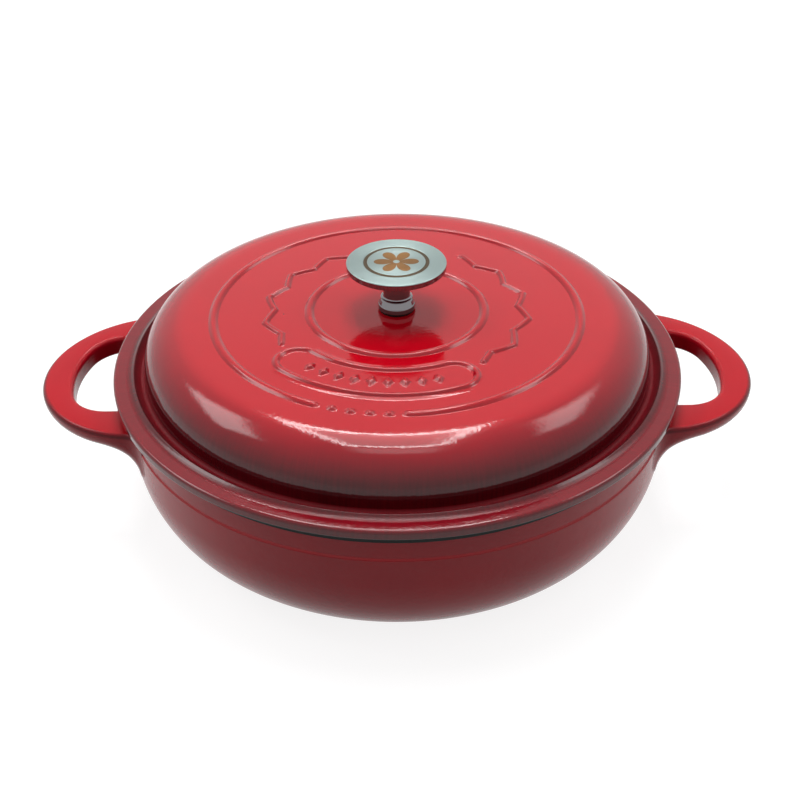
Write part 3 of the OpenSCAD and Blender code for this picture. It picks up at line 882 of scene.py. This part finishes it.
def lid_rows(pattern, lid, top_r):
    """Radii of the rows on the flat top, close together where the pattern is."""
    band = FOOT * pattern.ring_w / 2
    across = band * np.sin(np.linspace(-math.pi / 2, math.pi / 2, 17))
    beside = band + HOLD
    root, tip = pattern.tooth_in - 2 * MM, pattern.tooth_out + 2 * MM
    return np.concatenate([
        np.linspace(lid.hole_r + HOLE_BEVEL, pattern.inner_r - beside, 6),
        pattern.inner_r + across,
        np.linspace(pattern.inner_r + beside, pattern.panel_in - 2 * HOLD, 4),
        np.linspace(pattern.panel_in - HOLD, root, 9),
        np.linspace(root, tip, 29)[1:],
        np.linspace(tip, pattern.panel_out + HOLD, 25)[1:],
        np.linspace(pattern.panel_out + 2 * HOLD, pattern.outer_r - beside, 4),
        pattern.outer_r + across,
        np.linspace(pattern.outer_r + beside, top_r - HOLD, 4)])


def lid_section(lid):
    """Rows of the lid's section beyond its flat top, as the red outside, the black seat and the
    cream inside. The shoulder is a superellipse, the groove and the flange's crest are arcs, and a
    cove leads from the crest to the flat rim of the flange."""
    crest_x, crest_z = lid.flange_r - lid.flange_w, lid.seat_z + lid.flange_t
    dome_r = crest_x - lid.groove_w
    top_r, in_r = dome_r - lid.shoulder_w, dome_r - lid.wall_t
    foot_z = crest_z - lid.groove_d + lid.groove_r
    lean, slope, tilt = (math.degrees(a) for a in (lid.groove_lean, lid.slope, lid.tilt))
    edge_x = lid.flange_r - lid.edge_r
    cove_x = crest_x + (lid.crest_r + lid.cove_r) * math.sin(lid.slope)
    flat_z = crest_z - (lid.crest_r + lid.cove_r) * (1 - math.cos(lid.slope))
    edge_z = flat_z + (edge_x - cove_x) * math.tan(lid.tilt) - lid.edge_r
    bevel, turn = 0.4 * MM, 3 * MM
    low_z, in_z = lid.seat_z - lid.lip_h, lid.top_z - lid.wall_t
    shell = held(np.concatenate([
        superellipse(top_r, foot_z, lid.shoulder_w, lid.top_z - foot_z, 90, 0, rows=40),
        rounding(dome_r + lid.groove_r, foot_z, lid.groove_r, 180, 360 - lean, 11)[1:],
        rounding(crest_x, crest_z - lid.crest_r, lid.crest_r, 180 - lean, 90 - slope),
        rounding(cove_x, flat_z + lid.cove_r, lid.cove_r, 270 - slope, 270 + tilt, 12)[1:],
        rounding(edge_x, edge_z, lid.edge_r, 90 + tilt, 0, rows=8),
        line((lid.flange_r, lid.seat_z + lid.bevel))]))
    seat = held(line((lid.flange_r - lid.bevel, lid.seat_z), (lid.lip_r, lid.seat_z),
                     (lid.lip_r, low_z + bevel), (lid.lip_r - bevel, low_z),
                     (in_r + turn, low_z)))
    inside = np.concatenate([
        held(line((in_r, low_z + turn), (in_r, foot_z)))[:-1],
        superellipse(top_r, foot_z, lid.shoulder_w - lid.wall_t, in_z - foot_z, 0, 90, rows=22),
        held(line((top_r, in_z), (lid.hole_r + HOLE_BEVEL, in_z),
                  (lid.hole_r, in_z + HOLE_BEVEL), (lid.hole_r, lid.top_z - HOLE_BEVEL)))[1:]])
    return shell, seat, inside


# Fall below the flat top in millimetres, and the tone there: partly the enamel's own gradient,
# partly painted shade down the shoulder
SHOULDER_TONES_AND_SHADE = ((0, 1), (0.3, 0.91), (0.7, 0.765), (1.9, 0.675), (3.7, 0.60), (6, 0.545),
                  (8, 0.48), (10, 0.42), (12, 0.30), (14.3, 0.25), (17, 0.18), (22, 0.18))
# Tone of the groove, its fall on the crest as painted shade, the rise on the flat rim, the fall on
# the rim's side, and painted shade on the steep sides of the pattern with the slopes between which
# it sets in
GROOVE_TONE, CREST_PAINTED_SHADE, RIM_RISE, SIDE_FALL = 0.40, 0.20, 0.28, 0.16
RIDGE_PAINTED_SHADE, RIDGE_SLOPES = 0.34, (0.1, 0.9)
# Height over which the tone comes up from the flange's lower edge, and a hair past the dome's foot
LOW_EDGE, HAIR = 0.3 * MM, 0.01 * MM
# Distances from the crest over which the tone falls before it and rises on the flat rim, and where
# the cove's enamel ends
CREST_SPAN, RIM_SPAN, COVE_END = (-2.5 * MM, -0.5 * MM), (1 * MM, 4.2 * MM), 3.6 * MM
# Distances from the zigzag's middle between which the rows stop bending, and the angles over which
# the bend starts and ends
BEND_STOPS, BEND_STARTS, BEND_ENDS = (4 * MM, 9 * MM), 0.1, 0.15


def lid_tone(lid, r, z):
    """Tone of the enamel, with painted shade in it: bright on the top, deeper down the shoulder by
    the fall below the top, partly the enamel's gradient and partly painted shade, dark on the crest
    as painted shade, in between on the groove and the flange, and nearly black on the flange's
    lower edge."""
    crest_x = lid.flange_r - lid.flange_w
    bevel_z = lid.seat_z + lid.bevel
    # Partly painted shade: the tone falls with the depth below the top.
    fall = np.interp((lid.top_z - z) / MM, *np.array(SHOULDER_TONES_AND_SHADE).T)
    before, beyond = (smooth(r, crest_x + start, crest_x + end)
                      for start, end in (CREST_SPAN, RIM_SPAN))
    # Painted shade: the tone falls on the crest.
    flange = GROOVE_TONE - CREST_PAINTED_SHADE * before + RIM_RISE * beyond
    flange = flange - SIDE_FALL * smooth(r, lid.flange_r - lid.edge_r, lid.flange_r)
    flange = flange * smooth(z, bevel_z, bevel_z + LOW_EDGE)
    return np.where(r > crest_x - lid.groove_w + HAIR, flange, fall)


def lid_surface(pattern, lid):
    """Lid as one closed grid: the section's rows carried round, the top raised by the pattern, and
    the rows there bent along the zigzag. Gives points, tone and the material of each row."""
    a = pattern_angles(pattern)
    around = np.mod(a + math.pi, 2 * math.pi) - math.pi
    shell, seat, inside = lid_section(lid)
    radii = lid_rows(pattern, lid, shell[0, 0])
    top = np.stack([radii, np.full_like(radii, lid.top_z)], -1)
    profile = np.concatenate([top, shell, seat, inside])
    zones = np.repeat([RED, BLACK, CREAM], [len(top) + len(shell), len(seat), len(inside)])
    crest_x = lid.flange_r - lid.flange_w
    outside, reach = zones == RED, profile[:, 0]
    for zone, start, end in ((GROOVE, -lid.groove_w, -lid.crest_r),
                             (COVE, 2 * lid.crest_r, COVE_END)):
        zones[outside & (reach > crest_x + start) & (reach < crest_x + end)] = zone
    world = a + pattern.front
    points = lathe(profile, world)
    middle = (pattern.tooth_in + pattern.tooth_out) / 2
    window = 1 - smooth(np.abs(radii - middle), *BEND_STOPS)
    side = np.abs(around)
    active = smooth(side, pattern.zigzag_start - BEND_STARTS, pattern.zigzag_start) * (
        1 - smooth(side, pattern.zigzag_end, pattern.zigzag_end + BEND_ENDS))
    bend = (zigzag_radius(pattern, around) - middle) * active
    r = radii[:, None] + window[:, None] * bend
    relief = lid_relief(pattern, r, np.broadcast_to(around, r.shape))
    points[:len(top)] = np.stack([r * np.cos(world), r * np.sin(world), lid.top_z + relief], -1)
    steep = np.hypot(np.gradient(relief, axis=0) / np.gradient(r, axis=0),
                     np.gradient(relief, axis=1) / (r * np.gradient(a)))
    tone = np.repeat(lid_tone(lid, profile[:, :1], profile[:, 1:]), len(a), 1)
    # Painted shade: the tone falls on the steep sides of the pattern.
    tone[:len(top)] -= RIDGE_PAINTED_SHADE * smooth(steep, *RIDGE_SLOPES)
    return points, tone, zones


class CASSEROLE_OT_lid(bpy.types.Operator):
    """Make the domed lid with its raised pattern."""
    bl_idname = "casserole.lid"
    bl_label = "Lid"

    def execute(self, context):
        settings = context.scene.casserole
        colours = settings.colours
        points, tone, zones = lid_surface(settings.pattern, settings.lid)
        materials = [red_enamel("lid_red_enamel", colours),
                     matt_black("seat_black_enamel", colours),
                     cream_enamel("lid_cream_enamel", colours),
                     red_enamel("groove_red_enamel", colours),
                     red_enamel("cove_red_enamel", colours)]
        add_piece("lid_dome", "lid", ["lid"], points, materials, tone, zones,
                  close_rows=True)
        return {"FINISHED"}


# Knob and fasteners

# Columns round the knob's pieces, the fasteners and the open turn of the spring washer
KNOB_COLUMNS, FASTENER_COLUMNS, SPRING_COLUMNS = 160, 96, 72
# Range of roughness and stretch of the highlight of each steel
POLISHED, BRUSHED, PLATED = ((0.06, 0.09), 0.2), ((0.29, 0.33), 0.5), ((0.29, 0.34), 0.5)
# Depth below the disc's top where its polished side starts
CAP_DEPTH = 0.45 * MM
# Rounding of the flat washer and the seal, and of the spring washer
RING_EDGE, SPRING_EDGE = 0.3 * MM, 0.25 * MM
# Rounding of the screw's head, depth of its thread, rows to a turn of it, and the shares of the
# pitch between which a flank lies
HEAD_EDGE, THREAD_D, THREAD_ROWS, FLANK = 0.9 * MM, 0.5 * MM, 8, (0.05, 0.45)
# Distance of the thread from the head, and length and depth of the bevel at the screw's tip
THREAD_GAP, TIP_L, TIP_D = 0.05 * MM, 0.6 * MM, 0.7 * MM
# Radius and rows of the fine face that holds the cross recess, and the slopes of the recess's sides
# and ends
FACE_R, FACE_ROWS, RECESS_SIDE, RECESS_END = 4.2 * MM, 24, 0.2 * MM, 1.2 * MM


def disc_profile(knob):
    """Closed section of the disc: socket, cone, round edge, and flat top with one turned groove."""
    edge = 0.5 * MM
    groove_in, groove_out = knob.groove_r - knob.groove_w, knob.groove_r
    low = knob.disc_z - knob.groove_d
    slope, foot_in, foot_up = 0.12 * MM, 0.3 * MM, 0.2 * MM
    return held(np.concatenate([
        line((0, knob.cone_z + knob.socket_h), (knob.socket_r, knob.cone_z + knob.socket_h),
             (knob.socket_r, knob.cone_z), (knob.cone_r - foot_in, knob.cone_z),
             (knob.cone_r, knob.cone_z + foot_up)),
        rounding(knob.disc_r - edge, knob.disc_z - knob.edge_t + edge, edge, -75, 0, 6),
        rounding(knob.disc_r - edge, knob.disc_z - edge, edge, 0, 90, 7),
        line((groove_out + slope, knob.disc_z), (groove_out, low), (groove_in + slope, low),
             (groove_in, knob.disc_z), (0, knob.disc_z))]))


def stem_profile(knob):
    """Section of the stem: bore, flared foot, slightly waisted shaft and spigot."""
    flare, edge = knob.foot_r - knob.stem_r, 0.2 * MM
    return held(np.concatenate([
        line((0, knob.bore_z), (knob.bore_r, knob.bore_z), (knob.bore_r, knob.stem_z),
             (knob.foot_r - edge, knob.stem_z), (knob.foot_r, knob.stem_z + edge)),
        rounding(knob.foot_r, knob.stem_z + 2 * edge + flare, flare, 270, 180, rows=10),
        line((knob.stem_r, knob.cone_z - edge), (knob.stem_r - edge, knob.cone_z),
             (knob.spigot_r, knob.cone_z), (knob.spigot_r, knob.spigot_z), (0, knob.spigot_z))]))


def collar_profile(knob):
    """Closed section of the collar: hole, round foot, and a cove that narrows to the stem."""
    top, edge, step = knob.stem_z, 0.5 * MM, 0.4 * MM
    middle = (knob.collar_z + top) / 2
    return held(np.concatenate([
        line((knob.pass_r, top), (knob.pass_r, knob.collar_z)),
        rounding(knob.collar_r - edge, knob.collar_z + edge, edge, -90, 0, 6),
        rounding(knob.collar_r - edge, middle - edge, edge, 0, 60, 5),
        line((knob.foot_r, top - 0.7 * MM), (knob.foot_r - step, top - step),
             (knob.foot_r - step, top))]))


def ring_profile(inner, outer, low, high, edge):
    """Closed section of a flat ring with round outer edges."""
    return held(np.concatenate([
        line((inner, high), (inner, low)), rounding(outer - edge, low + edge, edge, -90, 0, 5),
        rounding(outer - edge, high - edge, edge, 0, 90, 5)]))


def spring_surface(knob, low, high):
    """Spring washer: a rectangle with round edges carried round a turn that leaves a slit."""
    half = math.asin(knob.slit_w / 2 / knob.spring_r)
    path = np.linspace(half, 2 * math.pi - half, SPRING_COLUMNS)
    section = ring_profile(knob.pass_r, knob.spring_r, low, high, SPRING_EDGE)
    return lathe(section, path).transpose(1, 0, 2)


def screw_surface(knob, head_low, head_high, tip):
    """Screw: head and shaft turned round +Z, a cross recess sunk into the head, and a thread whose
    radius is a triangle wave of height less turn."""
    angles = turn_angles(FASTENER_COLUMNS)
    face = np.stack([np.linspace(0, FACE_R, FACE_ROWS), np.full(FACE_ROWS, head_low)], -1)
    head = np.concatenate([face, held(np.concatenate([
        rounding(knob.head_r - HEAD_EDGE, head_low + HEAD_EDGE, HEAD_EDGE, -90, 0, rows=7),
        line((knob.head_r, head_high), (knob.screw_r, head_high))]))])
    rows = int((tip - head_high) / knob.pitch * THREAD_ROWS)
    rise = np.linspace(head_high + THREAD_GAP, tip - TIP_L, rows)
    shaft = np.stack([np.full_like(rise, knob.screw_r), rise], -1)
    end = line((knob.screw_r - TIP_D, tip), (0, tip))
    points = lathe(np.concatenate([head, shaft, end]), angles)
    bed = points[:len(face)]
    x, y = np.abs(bed[..., 0]), np.abs(bed[..., 1])
    wide, long = knob.recess_w / 2, knob.recess_l / 2
    cross = np.maximum(*(smooth(-p, -wide - RECESS_SIDE, -wide)
                         * smooth(-q, -long, -long + RECESS_END) for p, q in ((x, y), (y, x))))
    bed[..., 2] += knob.recess_d * cross
    turn = points[len(head):len(head) + len(shaft)]
    wave = np.mod(rise[:, None] / knob.pitch - angles / (2 * math.pi), 1)
    cut = THREAD_D * smooth(np.abs(wave - 0.5), *FLANK)
    turn[..., :2] *= ((knob.screw_r - cut) / knob.screw_r)[..., None]
    return points


class CASSEROLE_OT_knob(bpy.types.Operator):
    """Make the turned steel knob: disc, stem, collar and seal."""
    bl_idname = "casserole.knob"
    bl_label = "Knob"

    def execute(self, context):
        settings = context.scene.casserole
        knob, colours = settings.knob, settings.colours
        steel = turned_steel("knob_polished_steel", colours.post, *POLISHED)
        cap = turned_steel("knob_etched_steel", colours.steel, *BRUSHED, knob, colours.etched)
        angles = turn_angles(KNOB_COLUMNS)
        disc = disc_profile(knob)
        under = np.where(disc[:, 1] < knob.disc_z - CAP_DEPTH, 1, 0)
        add_piece("knob_cap", "lid", ["knob_disc"], lathe(disc, angles),
                  [cap, steel], zones=under)
        add_piece("knob_post", "lid", ["knob_stem"],
                  lathe(stem_profile(knob), angles), [steel])
        add_piece("knob_base", "lid", ["knob_collar"],
                  lathe(collar_profile(knob), angles), [steel], close_rows=True)
        ring = ring_profile(knob.pass_r, knob.seal_r, *span_of("knob_seal"), RING_EDGE)
        add_piece("seal_ring", "lid", ["knob_seal"], lathe(ring, angles),
                  [matt_black("seal_silicone", colours)], close_rows=True)
        return {"FINISHED"}


class CASSEROLE_OT_fasteners(bpy.types.Operator):
    """Make the screw and the two washers inside the lid."""
    bl_idname = "casserole.fasteners"
    bl_label = "Fasteners"

    def execute(self, context):
        settings = context.scene.casserole
        knob, colours = settings.knob, settings.colours
        zinc = turned_steel("fastener_plated_steel", colours.zinc, *PLATED)
        ring = ring_profile(knob.pass_r, knob.washer_r, *span_of("flat_washer"), RING_EDGE)
        add_piece("washer_flat", "lid", ["flat_washer"],
                  lathe(ring, turn_angles(FASTENER_COLUMNS)), [zinc], close_rows=True)
        low, high = span_of("spring_washer")
        add_piece("washer_spring", "lid", ["spring_washer"],
                  spring_surface(knob, low, high), [zinc], caps=True)
        head_low, tip = span_of("knob_screw")
        add_piece("screw", "lid", ["knob_screw"],
                  screw_surface(knob, head_low, low, tip), [zinc])
        return {"FINISHED"}


# Stage

# Distance of every lamp from its aim, in metres
LAMP_DISTANCE = 2.2
# Name, the point that it aims at in metres, degrees clockwise from the back, degrees up, width and
# height in metres, level in the middle, share of each half width and half height that fades out at
# the edge, gain towards the edge, and whether gloss shows it
LAMPS = (("back_box", (0, -0.11, 0.1), -2, 57.5, (0.74, 1.22), 2.0, (0.08, 0.06), 7.0, True),
         ("back_top", (0, -0.11, 0.1), -2, 82, (0.84, 0.70), 1.6, (0.5, 0.6), 0.0, True),
         ("left_box", (-0.08, -0.08, 0.1), -66, 48, (1.64, 0.90), 4.2, (0.4, 0.55), 0.0, True),
         ("right_box", (0.08, -0.08, 0.1), 60, 51, (1.70, 0.80), 3.4, (0.5, 0.65), 0.0, True),
         ("over_box", (0, 0, 0.1), 0, 82, (0.9, 0.9), 6.6, (0.2, 0.2), 0.0, False))
# Shares of a lamp's half width and half height between which its gain sets in
GAIN_SPAN = (0.72, 0.9)
# Levels that diffuse rays meet: the dim room, the backdrop, its rise with height, the sides, and
# the fill from the front
ROOM, BACKDROP, LIFT, SIDES, FILL = 0.02, 0.45, 0.22, 0.8, 0.45
# Sine of the height over which the backdrop ends, and how much higher it reaches at the sides
BACKDROP_END, SIDE_REACH = (0.628, 0.60), 0.12
# Glow and grey of the floor for the rays that see white, the share of its colour that is left at
# the front for the others as a painted shadow, and where along Y it fades
FLOOR_GLOW, FLOOR_GREY, FLOOR_FRONT_SHADE, FLOOR_FADE = 0.84, 0.24, 0.2, (-0.29, -0.11)
FLOOR_HALF, FLOOR_Z = 1.0, -0.5 * MM
# Lens and sensor in millimetres, and sideways shift
LENS, SENSOR, SHIFT = 50, 36, -0.0018
# Camera: degrees clockwise from the back and up, roll, and distance and height of aim in metres
CAMERA_ROUND, CAMERA_UP, CAMERA_ROLL = 180.33, 34.46, -0.45
CAMERA_DISTANCE, CAMERA_AIM = 0.5899, 0.0482


def direction(around, up):
    """Unit vector by its degrees clockwise from the back and up from the table."""
    turn, rise = math.radians(around), math.radians(up)
    flat = math.cos(rise)
    return Vector((math.sin(turn) * flat, math.cos(turn) * flat, math.sin(rise)))


def add_lamp(name, target, around, up, size, level, fade, gain, glossy):
    """Rectangular soft light in a direction from the point that it aims at. Its power is four times
    its area times the level that it shows. Across its face the level rises towards the edge by the
    gain and fades out over the given shares."""
    lamp = bpy.data.lights.new(name, "AREA")
    lamp.shape = "RECTANGLE"
    lamp.size, lamp.size_y = size
    lamp.energy = 4 * size[0] * size[1] * level
    lamp.use_nodes = True
    tree = lamp.node_tree
    tree.nodes.clear()
    face = put(tree, "ShaderNodeNewGeometry").outputs["Parametric"]
    place = put(tree, "ShaderNodeSeparateXYZ", {"Vector": face}).outputs
    off = [sums(tree, "ABSOLUTE", sums(tree, "MULTIPLY_ADD", place[key], 2.0, -1.0))
           for key in ("X", "Y")]
    rims = [remap(tree, value, *GAIN_SPAN, 0.0, gain) for value in off]
    fades = [remap(tree, value, 1.0, 1 - share) for value, share in zip(off, fade)]
    rim = sums(tree, "ADD", sums(tree, "MAXIMUM", *rims), 1.0)
    strength = sums(tree, "MULTIPLY", rim, sums(tree, "MULTIPLY", *fades))
    glow = put(tree, "ShaderNodeEmission", {"Strength": strength})
    put(tree, "ShaderNodeOutputLight", {"Surface": glow.outputs[0]})
    away = direction(around, up)
    light = bpy.data.objects.new(name, lamp)
    light.visible_glossy = glossy
    light.location = Vector(target) + LAMP_DISTANCE * away
    light.rotation_euler = (-away).to_track_quat("-Z", "Y").to_euler()
    bpy.context.scene.collection.objects.link(light)


def sees_white(tree):
    """1 for the rays that see the white background: camera, glossy and transmission rays."""
    path = put(tree, "ShaderNodeLightPath").outputs
    seen = sums(tree, "MAXIMUM", path["Is Camera Ray"], path["Is Glossy Ray"])
    return sums(tree, "MAXIMUM", seen, path["Is Transmission Ray"])


def add_world():
    """White surroundings for the rays that see the background. Diffuse rays meet a pale backdrop
    behind and beside the dish that ends below the lamps, a dim room in front and above, and a fill
    from the front. A ray's direction is given by the cosine of its turn from the back and the sine
    of its rise, and each level sets in over a span of one of them."""
    world = bpy.data.worlds.new("studio")
    world.use_nodes = True
    tree = world.node_tree
    tree.nodes.clear()
    away = put(tree, "ShaderNodeTexCoord").outputs["Generated"]
    axis = put(tree, "ShaderNodeSeparateXYZ", {"Vector": away}).outputs
    up = axis["Z"]
    flat = sums(tree, "MAXIMUM", flat_radius(tree, axis), 0.001)
    behind = sums(tree, "DIVIDE", axis["Y"], flat)
    backdrop = remap(tree, behind, -0.55, -0.2, ROOM, BACKDROP)
    lift = sums(tree, "MULTIPLY", remap(tree, up, 0.0, 0.55, 0.0, LIFT),
                remap(tree, behind, -0.2, 0.3))
    beside = sums(tree, "MULTIPLY", remap(tree, behind, 0.6, 0.1),
                  remap(tree, behind, -0.45, -0.12))
    beside = sums(tree, "MULTIPLY", beside, remap(tree, up, -0.4, 0.2, 0.0, SIDES))
    raised = sums(tree, "SUBTRACT", up, remap(tree, behind, 0.80, 0.62, 0.0, SIDE_REACH))
    near = sums(tree, "ADD", sums(tree, "ADD", backdrop, lift), beside)
    level = sums(tree, "MULTIPLY_ADD", near, remap(tree, raised, *BACKDROP_END), ROOM)
    fill = sums(tree, "MULTIPLY", remap(tree, behind, 0.0, -0.6, 0.0, FILL),
                remap(tree, up, 0.0, 0.3))
    diffuse = put(tree, "ShaderNodeLightPath").outputs["Is Diffuse Ray"]
    level = sums(tree, "MULTIPLY_ADD", fill, diffuse, level)
    level = put(tree, "ShaderNodeMix", {"Factor": sees_white(tree), 2: level, 3: 1.0}).outputs[0]
    back = put(tree, "ShaderNodeBackground", {"Color": (1, 1, 1, 1), "Strength": level})
    put(tree, "ShaderNodeOutputWorld", {"Surface": back.outputs[0]})
    bpy.context.scene.world = world


def floor_material(colours):
    """Pale floor that shows white to the rays that see the background, and keeps the shadow."""
    material, tree = new_material("floor_pale")
    pale = tuple(colours.floor)
    # Painted shadow: for the rays that don't see white, the floor's colour darkens towards the
    # front.
    dim = scaled(pale, FLOOR_FRONT_SHADE, FLOOR_FRONT_SHADE, FLOOR_FRONT_SHADE)
    shade = blend(tree, remap(tree, object_place(tree)[1]["Y"], *FLOOR_FADE), dim, pale)
    plain = put(tree, "ShaderNodeBsdfDiffuse", {"Color": shade}).outputs[0]
    grey = put(tree, "ShaderNodeBsdfDiffuse", {"Color": (FLOOR_GREY,) * 3 + (1,)}).outputs[0]
    glow = put(tree, "ShaderNodeEmission", {"Color": (1, 1, 1, 1), "Strength": FLOOR_GLOW})
    lifted = put(tree, "ShaderNodeAddShader", {0: grey, 1: glow.outputs[0]}).outputs[0]
    both = put(tree, "ShaderNodeMixShader", {0: sees_white(tree), 1: plain, 2: lifted})
    put(tree, "ShaderNodeOutputMaterial", {"Surface": both.outputs[0]})
    return material


def add_camera():
    """Camera at the photograph's place: 50 mm lens, 34.5 degrees above the table."""
    camera = bpy.data.objects.new("camera", bpy.data.cameras.new("camera"))
    camera.data.lens, camera.data.sensor_width = LENS, SENSOR
    camera.data.shift_x = SHIFT
    camera.data.clip_start = 0.01
    away = direction(CAMERA_ROUND, CAMERA_UP)
    camera.location = Vector((0, 0, CAMERA_AIM)) + CAMERA_DISTANCE * away
    roll = Euler((0, 0, math.radians(CAMERA_ROLL))).to_quaternion()
    camera.rotation_euler = ((-away).to_track_quat("-Z", "Y") @ roll).to_euler()
    bpy.context.scene.collection.objects.link(camera)
    bpy.context.scene.camera = camera


class CASSEROLE_OT_stage(bpy.types.Operator):
    """Make the floor, the lights, the surroundings and the camera."""
    bl_idname = "casserole.stage"
    bl_label = "Stage"

    def execute(self, context):
        context.scene.view_settings.view_transform = "Standard"
        mesh = bpy.data.meshes.new("floor")
        corners = [(x * FLOOR_HALF, y * FLOOR_HALF, FLOOR_Z)
                   for x, y in ((-1, -1), (1, -1), (1, 1), (-1, 1))]
        mesh.from_pydata(corners, [], [(0, 1, 2, 3)])
        mesh.materials.append(floor_material(context.scene.casserole.colours))
        floor = bpy.data.objects.new("floor", mesh)
        context.scene.collection.objects.link(floor)
        for lamp in LAMPS:
            add_lamp(*lamp)
        add_world()
        add_camera()
        return {"FINISHED"}


class CASSEROLE_PT_panel(bpy.types.Panel):
    """Sidebar panel with the builders of the dish."""
    bl_label = "Casserole"
    bl_idname = "CASSEROLE_PT_panel"
    bl_space_type = "VIEW_3D"
    bl_region_type = "UI"
    bl_category = "Casserole"

    def draw(self, context):
        settings = context.scene.casserole
        for builder in BUILDERS:
            self.layout.operator(builder.bl_idname)
        for name in ("pan", "handle", "lid", "pattern", "knob", "colours"):
            group = getattr(settings, name)
            box = self.layout.box()
            box.label(text=type(group).__name__)
            for key in group.__annotations__:
                box.prop(group, key)


BUILDERS = (CASSEROLE_OT_pan, CASSEROLE_OT_lid, CASSEROLE_OT_knob, CASSEROLE_OT_fasteners,
            CASSEROLE_OT_stage)
CLASSES = (PanSizes, HandleSizes, LidSizes, PatternSizes, KnobSizes, DishColours, DishSettings,
           *BUILDERS, CASSEROLE_PT_panel)


def register():
    """Registers the classes and the settings of the scene."""
    for cls in CLASSES:
        bpy.utils.register_class(cls)
    bpy.types.Scene.casserole = bpy.props.PointerProperty(type=DishSettings)


def unregister():
    """Removes the settings and the classes again."""
    del bpy.types.Scene.casserole
    for cls in reversed(CLASSES):
        bpy.utils.unregister_class(cls)


def main():
    register()
    bpy.ops.casserole.pan()
    bpy.ops.casserole.lid()
    bpy.ops.casserole.knob()
    bpy.ops.casserole.fasteners()
    bpy.ops.casserole.stage()


if __name__ == "__main__":
    main()
